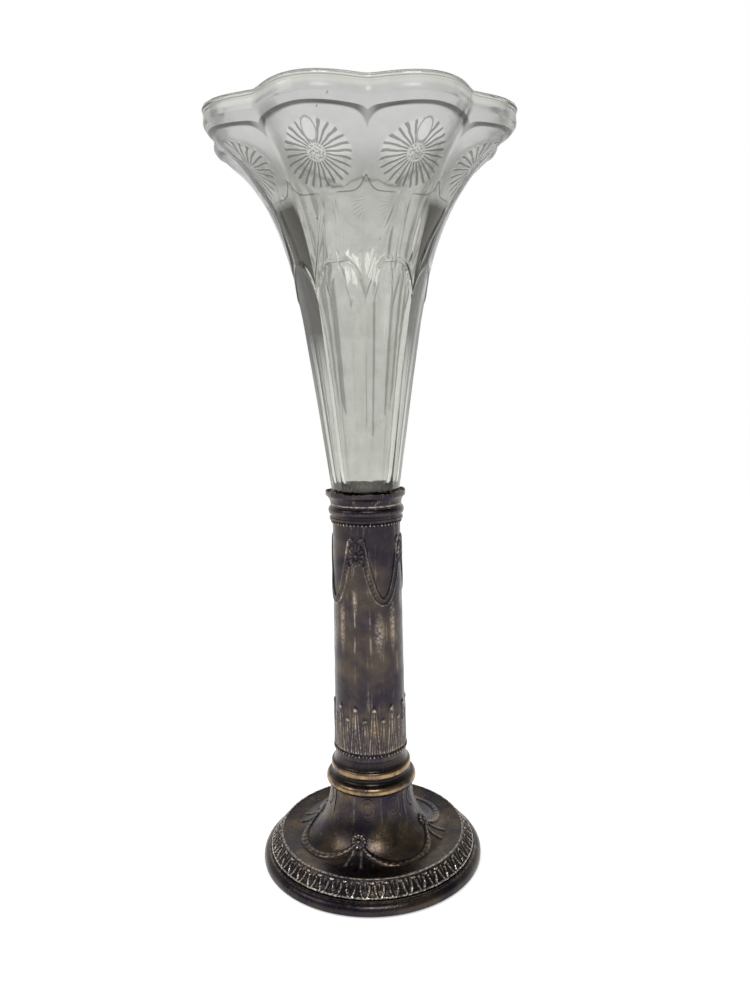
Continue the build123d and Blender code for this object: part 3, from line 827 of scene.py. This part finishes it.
def leaf_height():
    """Upright leaves with a midrib, flutes and a tip that curls out, and a lower row between them."""
    height = np.zeros_like(tube_x)
    for tip, turn_share, lift in ((leaf_tip, 0.0, 1.0), (leaf_tip - lower_leaf_drop, 1.0, lower_leaf_lift)):
        turn = tube_turn - leaf_shift - turn_share * leaf_half_angle
        nearest = (turn + leaf_half_angle) % (2 * leaf_half_angle) - leaf_half_angle
        x = nearest * foot_radius
        rise = np.clip((tube_z - leaf_foot) / (tip - leaf_foot), -0.05, 1.05)
        narrowing = np.sqrt(np.clip(1 - np.clip(rise, 0, 1) ** 3.2, 0, 1))
        half = leaf_half_width * narrowing * (0.84 + 0.16 * np.cos(5 * rise))
        inside = soft_step(0.0, 1.0, half - np.abs(x)) * soft_step(-0.03, 0.01, rise)
        flutes = 0.5 + 0.5 * np.cos(2 * math.pi * (np.abs(x) + flute_slant * rise) / flute_pitch)
        rib = ridge(x, leaf_rib_half)
        curl = np.exp(-(((rise - 0.93) / 0.05) ** 2)) * ridge(x, leaf_curl_half)
        leaf = inside * (0.3 + 0.35 * flutes + 0.3 * rib * (rise < 0.9) + 0.8 * curl) * lift
        height = np.maximum(height, leaf)
    return height


oval = rosette(tube_x, tube_z - rosette_level, *rosette_half, rosette_petals)
from_rosette = np.hypot(tube_x / rosette_half[0], (tube_z - rosette_level) / rosette_half[1])
swags = swag_height() * (1 - soft_step(1.25, 1.05, from_rosette))
tube_relief = np.maximum.reduce([oval_out * oval, swag_out * swags, leaf_out * leaf_height()])
dents = dent_out * np.sin(3.1 * tube_z / 7 + 4 * tube_turn) * soft_step(*dent_levels, tube_z)
outside = tube_r + tube_relief + dents
inside_z = np.array([tube_head, tube_foot])[:, None]
inside_r = np.array([head_radius, foot_radius])[:, None] - sheet
tube_points = np.concatenate([
    bent_round(outside, tube_z, tube_turn),
    bent_round(inside_r, inside_z, tube_turn),
])
bare_inside = np.ones((2, tube_columns))
tube_wear = crest_mask(tube_relief, 3, 1.5) - 0.5
tube_wear *= np.where(tube_z > plain_level, swag_shine, leaf_shine)
tube_wear += leaf_rub * soft_step(leaf_tip, leaf_tip - leaf_rub_drop, tube_z)
for turn, level, half_across, half_up in worn_patches:
    away_turn = (tube_turn - math.radians(turn) + quarter) % (2 * quarter) - quarter
    patch = np.hypot(away_turn * tube_r / half_across, (tube_z - level) / half_up)
    tube_wear += patch_rub * soft_step(1.0, 0.0, patch)
tube_raised = np.concatenate([0.5 + np.clip(tube_wear, -0.5, 0.5), bare_inside])
tube_sector = sector_mesh("column_sector", tube_points, {"raised": tube_raised})
column = set_round("ornamented_column", tube_sector, 4, rosette_turn, column_plate)
on_stand(column, "plated_metal", "column_tube")

# %% [markdown]
# ## Foot dome
# The dome was stamped in one blow: shields near its neck, rosettes with ribbon tails
# lower down and leaf garlands that hang from one rosette to the next over the brim.
# Ten shields don't share out over four rosettes, so half of the dome is drawn.

# %% Foot dome
neck_radius, dome_top = 18.3, 35.5
saucer_radius, saucer_level = 34.3, 11.2
brim_radius, brim_level = 41.15, 12.0
dome_columns, dome_rows = 241, 110
half_turn = math.pi / 2
dome_rosette_turns = (-45.0, 45.0)
dome_rosette_place = (23.7, 17.3)
dome_rosette_half, dome_petals = 3.4, 11
tail_x, tail_y, tail_half = (1.5, 2.6, 3.4), (-2.6, -7.5, -11.5), 0.75
garland_middles = (-90.0, 0.0, 90.0)
garland_low_radius, garland_mean_radius = 33.0, 28.0
garland_half_width, garland_power, garland_notch = 1.25, 2.1, 2.6
garland_full = (26, 4)
shield_count, shield_step = 5, 36
shield_level = 30.8
shield_half = (3.0, 4.2)
shield_rib_half, shield_rib_ends = 0.55, (8.5, 5.0)
flower_out, garland_out, shield_out = 1.1, 0.8, 0.5
relief_fade = 1.2
front_dome_turn = -14.0

sweep = np.linspace(math.pi / 2, 0, 60)
flank_r = saucer_radius - (saucer_radius - neck_radius) * np.cos(sweep)
flank_z = dome_top - (dome_top - saucer_level) * np.sin(sweep)
brim_r = np.linspace(brim_radius, saucer_radius, 12)[:-1]
brim_z = np.linspace(brim_level, saucer_level, 12)[:-1]
dome_r, dome_z = even_profile(np.append(brim_r, flank_r), np.append(brim_z, flank_z), dome_rows)
dome_s = arc_length(dome_r, dome_z)[:, None]
dome_turn = np.linspace(-half_turn, half_turn, dome_columns)[None, :]


def dome_place(radius):
    """Length along the dome's profile at a radius."""
    return float(np.interp(-radius, -dome_r, dome_s[:, 0]))


def dome_x(turn):
    """Distance round the dome from an angle in radians, the short way."""
    away = (dome_turn - turn + math.pi) % (2 * math.pi) - math.pi
    return away * dome_r[:, None]


def garland_height():
    """Leaf garlands that hang between the rosettes."""
    height = np.zeros((dome_rows, dome_columns))
    top = dome_place(dome_rosette_place[0])
    low = dome_place(garland_low_radius)
    share = np.linspace(-1, 1, 49)
    line_s = low + (top - low) * np.abs(share) ** garland_power
    line_x = share * quarter * garland_mean_radius
    for middle in garland_middles:
        turn = (dome_turn - math.radians(middle) + math.pi) % (2 * math.pi) - math.pi
        x = turn * garland_mean_radius
        away, along = line_distance(x, np.broadcast_to(dome_s, height.shape), line_x, line_s)
        fullness = 0.65 + 0.55 * soft_step(*garland_full, np.abs(x))
        half = garland_half_width * fullness
        notches = 0.92 + 0.08 * np.cos(2 * math.pi * (along + 0.8 * away) / garland_notch)
        height = np.maximum(height, ridge(away, half) * notches)
    return height


def shield_height():
    """Shields near the neck, each a soft raised field with a rim, with a rib between them."""
    height = np.zeros((dome_rows, dome_columns))
    middle = float(np.interp(shield_level, dome_z[12:], dome_s[12:, 0]))
    for index in range(shield_count):
        turn = math.radians(shield_step * (index - shield_count // 2))
        x = dome_x(turn)
        y = dome_s - middle
        reach = np.hypot(x / shield_half[0], y / (shield_half[1] * (1 - 0.12 * np.sign(y))))
        rim = 0.6 * ridge(np.abs(reach - 0.85), 0.22)
        field = 0.8 * soft_step(1.05, 0.3, reach)
        rib = 0.5 * ridge(dome_x(turn + math.radians(shield_step / 2)), shield_rib_half)
        rib = rib * soft_step(*shield_rib_ends, np.abs(y))
        height = np.maximum.reduce([height, rim, field, rib])
    return height


def dome_flowers():
    """Rosettes with two ribbon tails each."""
    height = np.zeros((dome_rows, dome_columns))
    level = dome_place(dome_rosette_place[0])
    for degrees in dome_rosette_turns:
        x = dome_x(math.radians(degrees))
        y = dome_s - level
        height = np.maximum(height, rosette(x, y, dome_rosette_half, dome_rosette_half, dome_petals))
        for side in (-1, 1):
            tail_away = line_distance(x, y, side * np.array(tail_x), tail_y)[0]
            height = np.maximum(height, 0.4 * ridge(tail_away, tail_half))
    return height


dome_relief = np.maximum(flower_out * dome_flowers(), garland_out * garland_height())
dome_relief = np.maximum(dome_relief, shield_out * shield_height())
dome_relief *= soft_step(0.0, relief_fade, dome_s) * soft_step(dome_s[-1], dome_s[-1] - relief_fade, dome_s)
normal_r, normal_z = profile_normals(dome_r, dome_z)
outer_r = dome_r[:, None] + dome_relief * normal_r[:, None]
outer_z = dome_z[:, None] + dome_relief * normal_z[:, None]
inner_sweep = np.linspace(0, math.pi / 2, 9)
inner_r = saucer_radius - (saucer_radius - neck_radius + sheet) * np.cos(inner_sweep)
inner_z = dome_top - (dome_top - saucer_level + sheet) * np.sin(inner_sweep)
inner_r = np.append(inner_r, brim_radius)[:, None]
inner_z = np.append(inner_z, brim_level - sheet)[:, None]
dome_points = np.concatenate([
    bent_round(outer_r, outer_z, dome_turn),
    bent_round(inner_r, inner_z, dome_turn),
])
dome_raised = np.concatenate([crest_mask(dome_relief, 3, 1.2), np.full((len(inner_r), dome_columns), 0.5)])
dome_fine = np.append(np.ones(dome_rows, bool), np.zeros(len(inner_r), bool))
dome_sector = sector_mesh("dome_sector", dome_points, {"raised": dome_raised}, dome_fine)
dome = set_round("stamped_dome", dome_sector, 2, front_dome_turn + dome_rosette_turns[1], foot_plate)
on_stand(dome, "plated_metal", "foot_dome")

# %% [markdown]
# ## Leaf border
# A sloped strip of water leaves runs round the foot: the outlines of bell-shaped leaves
# on a thick lower bar, a cap on each leaf and a tongue between two leaves. One motif is
# drawn on a small grid and repeated forty-six times.

# %% Leaf border
border_count = 46
border_columns, border_rows = 17, 24
border_under, border_outer, border_inner = 45.8, 47.2, 41.2
border_low, border_high = 5.0, 12.2
border_step, border_lap = 0.7, 1.3
slope_length, outline_half, bar_half = 9.2, 0.45, 0.65
low_edge_raised, high_edge_raised = 0.6, 0.85
motif_relief = 0.6
motif_half = math.pi / border_count

slope_r = np.linspace(border_outer - border_step, border_inner + border_step, border_rows)
slope_z = np.linspace(border_low + border_step, border_high - border_step, border_rows)
motif_turn = np.linspace(-motif_half, motif_half, border_columns)[None, :]
motif_x = (motif_turn / motif_half) * np.ones((border_rows, 1))
motif_y = np.linspace(0, 1, border_rows)[:, None]
bell = 0.38 + 0.60 * np.clip(1 - motif_y / 0.6, 0, 1) ** 1.8
pitch_half = motif_half * (border_outer + border_inner) / 2
outline = ridge((np.abs(motif_x) - bell) * pitch_half, outline_half) * soft_step(0.80, 0.72, motif_y)
base_bar = ridge((motif_y - 0.1) * slope_length, bar_half) + 0 * motif_x
tongue = ridge(np.hypot((np.abs(motif_x) - 1) / 0.16, (motif_y - 0.72) / 0.22), 1.0)
cap = ridge(np.hypot(motif_x / 0.42, (motif_y - 0.86) / 0.08), 1.0)
motif = np.maximum.reduce([outline, base_bar, 0.7 * tongue, 0.9 * cap])
motif *= soft_step(0.0, 0.05, motif_y) * soft_step(1.0, 0.95, motif_y)
normal_r, normal_z = profile_normals(slope_r, slope_z)
border_r = slope_r[:, None] + motif_relief * motif * normal_r[:, None]
border_z = slope_z[:, None] + motif_relief * motif * normal_z[:, None]
edges_before = [
    (border_under, border_low),
    (border_outer, border_low),
    (border_outer, border_low + border_step),
]
edges_after = [
    (border_inner + border_step, border_high),
    (border_inner, border_high),
    (border_inner, border_high - border_lap),
]


def edge_points(edges, turn):
    """Plain rows of a profile given as (radius, height)."""
    values = np.array(edges, float)
    return bent_round(values[:, :1], values[:, 1:], turn)


border_points = np.concatenate([
    edge_points(edges_before, motif_turn),
    bent_round(border_r, border_z, motif_turn),
    edge_points(edges_after, motif_turn),
])
plain_three = np.zeros((3, border_columns))
border_raised = np.concatenate([
    plain_three + low_edge_raised,
    crest_mask(motif, 3, 0.9),
    plain_three + high_edge_raised,
])
border_sector = sector_mesh("border_sector", border_points, {"raised": border_raised})
border = set_round("water_leaf_border", border_sector, border_count, 0.0, border_plate, sharp_angle=60.0)
on_stand(border, "plated_metal", "leaf_border")

# %% [markdown]
# ## Bead wires
# Two fine beaded wires close the column above and below. A bead is a short length of
# tube that swells to a ball, so one bead with its bit of wire is the sector here.

# %% Bead wires
bead_radius = 0.75
wire_radius = 0.45
bead_columns, bead_rows = 9, 10
bead_rings = {
    "lower_beads": ("lower_bead_wire", 52.8, 62),
    "upper_beads": ("upper_bead_wire", 155.9, 56),
}
for piece_name, (node_name, level, count) in bead_rings.items():
    ring_radius = foot_radius + (head_radius - foot_radius) * (level - tube_foot) / (tube_head - tube_foot)
    turn = np.linspace(-math.pi / count, math.pi / count, bead_columns)[None, :]
    ball = np.sqrt(np.clip(bead_radius**2 - (turn * ring_radius) ** 2, wire_radius**2, None))
    round_wire = np.linspace(0, 2 * math.pi, bead_rows, endpoint=False)[:, None]
    bead_r = ring_radius + ball * np.cos(round_wire)
    bead_z = level + ball * np.sin(round_wire)
    shine = np.clip((ball - wire_radius) / (bead_radius - wire_radius), 0, 1) * np.ones_like(bead_r)
    bead_sector = sector_mesh(piece_name, bent_round(bead_r, bead_z, turn), {"raised": 0.25 + 0.55 * shine})
    beads = set_round(piece_name, bead_sector, count, 0.0, border_plate)
    on_stand(beads, "plated_metal", node_name)

# %% [markdown]
# ## Turned rings
# The rings were turned on a lathe, so each is a profile swept round: a narrow sector of
# the profile, repeated. The tops of the rounds are where polishing wore the silver
# through to the gold-coloured metal, and the raised mask follows them.

# %% Turned rings
ring_sectors, ring_columns = 120, 3
round_steps = 10
ring_bore, upper_bore = 14.6, 14.45
ring_groove = 0.1
collar_radius, collar_round, cove_radius = 18.6, 20.4, 17.2
collar_neck, collar_top = 40.0, 42.5
base_radius, base_round, base_cove_radius, base_neck = 17.3, 18.1, 16.28, 46.0
fillet_radius, upper_radius, upper_round = 16.0, 15.5, 16.5
fillet_top, torus_low, torus_top, upper_top = 158.0, 159.2, 162.6, 163.5
skirt_side = ((border_under, 0.4), (49.6, 0.4), (50.0, 0.8), (50.0, 1.8), (49.85, 2.9))
skirt_shoulder = ((49.3, 3.9), (48.5, 4.6))


def round_over(start, end, reach, share=1.0):
    """Points of an arc between two (radius, height) ends that bulges to a radius, with a raised mask."""
    turn = np.linspace(0, math.pi, round_steps)
    line_r = np.linspace(start[0], end[0], round_steps)
    line_z = (start[1] + end[1]) / 2 - (end[1] - start[1]) / 2 * np.cos(turn)
    swell = (reach - (start[0] + end[0]) / 2) * np.sin(turn)
    return [(r, z, 0.4 + share * s) for r, z, s in zip(line_r + swell, line_z, np.sin(turn))]


def plain(*corners, raised=0.4):
    """Corners of a profile that carry one raised value."""
    return [(r, z, raised) for r, z in corners]


collar_profile = (
    plain((ring_bore, dome_top))
    + round_over((collar_radius, dome_top), (collar_radius, collar_neck), collar_round, 0.6)
    + round_over((collar_radius, collar_neck + ring_groove), (cove_radius, collar_top), cove_radius, -0.2)
    + plain((ring_bore, collar_top))
)
base_profile = (
    plain((ring_bore, collar_top))
    + round_over((base_radius, collar_top), (base_radius, base_neck), base_round, 0.6)
    + round_over((base_radius, base_neck + ring_groove), (foot_radius, tube_foot), base_cove_radius, -0.1)
    + plain((ring_bore, tube_foot))
)
upper_profile = (
    plain((upper_bore, tube_head))
    + plain((fillet_radius, tube_head), (fillet_radius, fillet_top), raised=0.6)
    + plain((upper_radius, fillet_top), (upper_radius, torus_low))
    + round_over((upper_radius, torus_low), (upper_radius, torus_top), upper_round, 0.22)
    + plain((upper_radius, upper_top), (upper_bore, upper_top))
)
skirt_profile = (
    plain(*skirt_side)
    + plain(*skirt_shoulder, raised=0.5)
    + plain((border_outer, border_low), (border_under, border_low), raised=0.75)
)
ring_profiles = {
    "gilt_collar": ("foot_collar", collar_profile),
    "column_base": ("column_base_ring", base_profile),
    "upper_torus": ("upper_ring", upper_profile),
    "rounded_skirt": ("foot_skirt", skirt_profile),
}
ring_finishes = {"foot_skirt": border_plate, "upper_ring": column_plate}
ring_turn = np.linspace(-math.pi / ring_sectors, math.pi / ring_sectors, ring_columns)[None, :]
for piece_name, (node_name, profile) in ring_profiles.items():
    values = np.array(profile)
    points = bent_round(values[:, :1], values[:, 1:2], ring_turn)
    sector = sector_mesh(piece_name, points, {"raised": values[:, 2:]})
    finish = ring_finishes.get(node_name, rubbed_plate)
    ring = set_round(piece_name, sector, ring_sectors, 0.0, finish, sharp_angle=40.0)
    on_stand(ring, "plated_metal", node_name)

# %% [markdown]
# ## Socket lip
# The spun lip that holds the glass is thin, and years of use have left its edge wavy
# and a little ragged. It is one full turn of a profile whose edge wanders by sums of
# waves, which repeat exactly and need no random numbers.

# %% Socket lip
lip_columns, lip_rows = 241, 12
lip_foot, lip_curl, lip_top = upper_top, 167.5, 169.5
lip_root, lip_edge, lip_power = upper_radius, 17.4, 2.4
lip_sheet = 0.6
edge_drop, edge_rag = 0.35, 0.3


def waves(turn, *parts):
    """Sum of sine waves given as (height, waves in a turn, shift)."""
    return sum(height * np.sin(count * turn + shift) for height, count, shift in parts)


lip_turn = np.linspace(-math.pi, math.pi, lip_columns)[None, :]
ragged = waves(lip_turn, (0.5, 7, 0.6), (0.3, 17, 0), (0.35, 41, 2))
wander = waves(lip_turn, (0.18, 3, 1), (0.1, 11, 0))
lip_share = np.linspace(0, 1, lip_rows)[:, None]
flare = lip_root + (lip_edge - lip_root) * lip_share**lip_power + wander * lip_share
lip_level = lip_foot + (lip_curl - lip_foot) * lip_share
lip_out = np.concatenate([flare, flare[-1:]])
lip_up = np.concatenate([lip_level + 0 * lip_turn, lip_top - edge_drop + edge_rag * ragged])
lip_r = np.concatenate([lip_out, lip_out[::-1] - lip_sheet])
lip_z = np.concatenate([lip_up, lip_up[::-1]])
lip_raised = np.concatenate([0.45 + 0.5 * (lip_share < 0.12), [[0.6], [0.8]], 0.9 + 0 * lip_share])
lip_mesh = sector_mesh("lip_turn", bent_round(lip_r, lip_z, lip_turn), {"raised": lip_raised})
lip = set_round("ragged_lip", lip_mesh, 1, 0.0, foot_plate, sharp_angle=50.0)
on_stand(lip, "plated_metal", "socket_lip")

# %% [markdown]
# ## Glass trumpet
# The trumpet's shape follows a rule: an eight-sided stem that flares with a high power
# of its height, and seams that draw in towards the rim until eight lobes stand out.
# One lobe from seam to seam is drawn, with its daisy, stalk and arches, then repeated.

# %% Trumpet rule
lobe_count = 8
lobe_half = math.pi / lobe_count
facet_start, band_bottom, rim_level = 174.0, 312.5, 320.0
shoulder_level, shoulder_radius = 158.7, 13.5
glass_wall = 3.0
stem_radius, stem_taper, mouth_flare = 15.4, 19.0, 28.4
facet_crown, seam_depth, band_flare = 0.15, 8.1, 1.4
flare_power, seam_power, fill_power = 5, 6, 4
corner_reach, corner_fade, corner_steps = 2.0, (20, 5), 11
seam_fill = 0.9
wave_power = 1.4
wave_shares = (0.62, 0.95)
swell, swell_level, swell_reach = 1.6, 309.5, 7.0
front_lobe_turn = -18.5


def sharp_radii(level):
    """Lobe and seam radius outside at a height, with a corner under the rim band."""
    share = np.clip((level - facet_start) / (band_bottom - facet_start), 0, 1)
    outline = stem_radius + stem_taper * share + mouth_flare * share**flare_power
    facet = outline * math.cos(lobe_half) + facet_crown
    lobe = facet + (outline - facet) * share**fill_power
    seam = outline - seam_depth * share**seam_power
    flare = band_flare * np.clip((level - band_bottom) / (rim_level - band_bottom), 0, 1)
    flare = flare + swell * np.exp(-(((level - swell_level) / swell_reach) ** 2))
    return np.array([lobe + flare, seam + flare, share])


def lobe_radii(level):
    """The same radii with the corner rounded, by averaging over a short reach."""
    reach = corner_reach * soft_step(band_bottom - corner_fade[0], band_bottom - corner_fade[1], level)
    shifts = np.linspace(-1, 1, corner_steps)
    return sum(sharp_radii(level + reach * shift) for shift in shifts) / corner_steps


def lobe_outline(lobe, seam, share, turn):
    """Radius over the angle: flat facets in the stem, smooth waves at the mouth."""
    angle = np.abs(turn)
    centre = (lobe**2 - seam**2) / (2 * (lobe - seam * math.cos(lobe_half)))
    facet = centre * np.cos(angle) + np.sqrt((lobe - centre) ** 2 - (centre * np.sin(angle)) ** 2)
    valley = seam + seam_fill
    wave = valley + (lobe - valley) * np.cos(angle * math.pi / 2 / lobe_half) ** wave_power
    return facet + (wave - facet) * soft_step(*wave_shares, share)


# %% Lobe grid
glass_columns = 65
stem_rows, ornament_rows, band_rows = 26, 120, 13
ornament_start = 244.0
edge_rows = 1.5
flower_level = 297.5

lobe_turn = np.linspace(-lobe_half, lobe_half, glass_columns)[None, :]
fine_z = np.linspace(ornament_start, band_bottom, 400)
fine_s = arc_length(lobe_radii(fine_z)[0], fine_z)
ornament_z = np.interp(np.linspace(0, fine_s[-1], ornament_rows), fine_s, fine_z)
body_z = np.concatenate([
    np.linspace(facet_start, ornament_start, stem_rows)[:-1],
    ornament_z[:-1],
    np.linspace(band_bottom, rim_level - edge_rows, band_rows),
])
body_lobe, body_seam, body_share = lobe_radii(body_z)
body_s = arc_length(body_lobe, body_z)
flower_s = np.interp(flower_level, body_z, body_s)
glass_x = lobe_turn * body_lobe[:, None]
glass_y = (body_s - flower_s)[:, None] * np.ones_like(glass_x)
half_width = lobe_half * body_lobe[:, None]
seam_away = half_width - np.abs(glass_x)
across = np.clip(np.abs(glass_x) / half_width, 0, 1)


def at_level(level):
    """Length along the lobe at a height, measured from the middle of the daisy."""
    return float(np.interp(level, body_z, body_s) - flower_s)


print("lobe grid:", glass_x.shape)

# %% [markdown]
# ## The pressed pattern
# Each lobe carries a daisy in a sunk panel under an arch, a stalk with one bent leaf
# below it, clear windows over the seams and a flat facet with a round-arched top. Each
# border is a line over the lobe, and the distance below it gives both the step in the
# mesh and the mask for the shader.

# %% Borders of the pattern
arch_level, arch_bow, arch_power, arch_dip, dip_width = 310.8, 1.5, 1.6, 1.7, 1.5
shade_width, shade_growth, drop_length, drop_width = 2.5, 0.4, 6.5, 2.3
ogee_peak, ogee_shoulder, ogee_corner = 290.7, 285.4, 284.6
ogee_width, ogee_power = 2.15, 1.43
corner_reach_x = 3.0
facet_apex, facet_spring, facet_power = 262.0, 250.0, 3.0
stalk_half = (1.3, 1.6)
leaf_line = ((-1.2, 283.0), (-2.6, 279.0), (-5.4, 271.0), (-8.2, 260.5), (-9.9, 252.5), (-10.4, 247.5))
leaf_half = 2.0

arch = at_level(arch_level) - arch_bow * across**arch_power - arch_dip * np.exp(-seam_away / dip_width)
arch_width = shade_width + shade_growth * across + drop_length * np.exp(-seam_away / drop_width)
arch_depth = arch - glass_y
ogee = at_level(ogee_shoulder) + 0 * glass_y
ogee += (at_level(ogee_peak) - at_level(ogee_shoulder)) * np.exp(-((seam_away / ogee_width) ** ogee_power))
from_stalk = np.clip(np.abs(glass_x) - stalk_half[1], 0, corner_reach_x)
ogee -= corner_reach_x - np.sqrt(corner_reach_x**2 - (corner_reach_x - from_stalk) ** 2)
ogee_slope = np.gradient(ogee, axis=1) / np.gradient(glass_x, axis=1)
ogee_depth = (ogee - glass_y) / np.sqrt(1 + ogee_slope**2)
facet_drop = at_level(facet_apex) - at_level(facet_spring)
facet_depth = at_level(facet_apex) - facet_drop * across**facet_power - glass_y
stalk_rise = soft_step(at_level(facet_apex), at_level(ogee_corner), glass_y)
stalk_away = np.abs(glass_x) - stalk_half[0] - (stalk_half[1] - stalk_half[0]) * stalk_rise
leaf_x = np.array([x for x, level in leaf_line])
leaf_y = np.array([at_level(level) for x, level in leaf_line])
smooth_y = np.linspace(leaf_y[0], leaf_y[-1], 24)
leaf_away = line_distance(glass_x, glass_y, np.interp(-smooth_y, -leaf_y, leaf_x), smooth_y)[0]
print("borders of the pattern: arch, window, facet, stalk and leaf")

# %% Heights of the pattern
panel_depth, window_depth, stalk_depth, facet_sink = 0.5, 0.6, 0.2, 0.3
flower_height, leaf_height_out = 0.2, 0.5
bevel, flower_bevel = 2.4, 2.5
facet_fade_levels = (226.0, 246.0)
slant_shade_low_levels, slant_shade_high_levels = (214.0, 236.0), (288.0, 282.0)
satin_levels = (284.0, 295.0)
bead_start, bead_full = 2.2, 1.7

stem_fade = soft_step(*facet_fade_levels, body_z)[:, None]

under_arch = soft_step(0.0, np.clip(arch_width, 0, 3 * bevel), arch_depth)
under_ogee = soft_step(0.0, bevel, ogee_depth)
above_facet = soft_step(0.0, -bevel, facet_depth)
beside_stalk = soft_step(0.0, bevel, stalk_away)
window = under_ogee * beside_stalk * above_facet
stalk = under_ogee * (1 - beside_stalk) * above_facet
flower = soft_step(flower_reach + flower_bevel, flower_reach - flower_bevel, np.hypot(glass_x, glass_y))
leaf = soft_step(leaf_half, 0.0, leaf_away) * window
glass_relief = flower_height * flower - panel_depth * under_arch * (1 - under_ogee)
glass_relief -= window_depth * window + stalk_depth * stalk
glass_relief -= facet_sink * soft_step(0.0, bevel, facet_depth) * stem_fade
glass_relief += leaf_height_out * leaf
rim_bead = soft_step(rim_level - bead_start, rim_level - bead_full, body_z)[:, None]
# Heights where the side facets take the painted olive shade.
slant_shade_fade = soft_step(*slant_shade_low_levels, body_z) * soft_step(*slant_shade_high_levels, body_z)
satin_mask = soft_step(at_level(satin_levels[0]), at_level(satin_levels[1]), glass_y)
lobe_marks = {
    "satin": satin_mask * (1 - rim_bead),
    "arch_depth": arch_depth,
    "arch_width": arch_width,
    "ogee_depth": ogee_depth,
    "facet_depth": facet_depth,
    "seam_away": seam_away,
    "stalk_away": stalk_away,
    "slant_shade_zone": slant_shade_fade[:, None] + 0 * glass_x,
}
print("lobe relief", round(float(glass_relief.min()), 2), "to", round(float(glass_relief.max()), 2), "mm")

# %% Trumpet piece
rim_steps = 9
inner_rows = 34
bead_neck, neck_full = 0.4, 4.0
inner_seam_gap = 0.01
glass_sharp = 30.0
bore_radius, bore_foot_radius = 6.0, 5.2
peg_bottom, peg_floor, peg_radius = 128.0, 4.0, 9.0
peg_taper, peg_round = 0.8, 2.0

body_r = lobe_outline(body_lobe[:, None], body_seam[:, None], body_share[:, None], lobe_turn)
normal_r, normal_z = profile_normals(body_lobe, body_z)
neck = bead_neck * soft_step(band_bottom, rim_level - neck_full, body_z)[:, None] * (1 - rim_bead)
outer_r = body_r + (glass_relief - neck) * normal_r[:, None]
outer_z = body_z[:, None] + glass_relief * normal_z[:, None]

inner_z = np.linspace(rim_level - edge_rows, facet_start, inner_rows)[:, None]
inner_lobe, inner_seam, inner_share = lobe_radii(inner_z)
inner_lobe = inner_lobe - glass_wall
inner_seam = inner_lobe - seam_depth * inner_share**seam_power - inner_seam_gap
inner_r = lobe_outline(inner_lobe, inner_seam, inner_share, lobe_turn)

rim_angle = np.linspace(0, math.pi, rim_steps)[1:-1, None]
rim_middle = (outer_r[-1:] + inner_r[:1]) / 2
rim_half = (outer_r[-1:] - inner_r[:1]) / 2
rim_r = rim_middle + rim_half * np.cos(rim_angle)
rim_z = rim_level - edge_rows + edge_rows * np.sin(rim_angle) + 0 * rim_r

shoulder_share = np.linspace(0, 1, 5)[:-1, None]
shoulder_r = shoulder_radius + (outer_r[:1] - shoulder_radius) * shoulder_share
shoulder_z = shoulder_level + (facet_start - shoulder_level) * shoulder_share + 0 * shoulder_r
peg_turn = np.linspace(0, math.pi / 2, 4)
peg_profile = [(0, peg_bottom)] + [
    (peg_radius - peg_taper - peg_round * (1 - math.sin(a)), peg_bottom + peg_round * (1 - math.cos(a)))
    for a in peg_turn
] + [(peg_radius, shoulder_level)]
bore_floor = peg_bottom + peg_floor
bore_profile = [(bore_radius, shoulder_level), (bore_foot_radius, bore_floor), (0, bore_floor)]
glass_points = np.concatenate([
    edge_points(peg_profile, lobe_turn),
    bent_round(shoulder_r, shoulder_z, lobe_turn),
    bent_round(outer_r, outer_z, lobe_turn),
    bent_round(rim_r, rim_z, lobe_turn),
    bent_round(inner_r, inner_z, lobe_turn),
    edge_points(bore_profile, lobe_turn),
])
before = len(peg_profile) + len(shoulder_share)
after = len(glass_points) - before - len(body_z)
outer_rows = ((before, after), (0, 0))
masks = {title: np.pad(mask, outer_rows, mode="edge") for title, mask in lobe_marks.items()}
lobe_place = np.pad(np.stack([glass_x, glass_y], axis=-1), (*outer_rows, (0, 0)), mode="edge")
levels = np.pad(body_z, (before, after))
glass_fine = (levels >= ornament_start) & (levels <= band_bottom)
glass_sector = sector_mesh("glass_lobe", glass_points, masks, glass_fine, lobe_place)
glass = set_round("pressed_trumpet", glass_sector, lobe_count, front_lobe_turn, glass_finish, glass_sharp)
on_stand(glass, "clear_glass", "glass_trumpet", body="glass")
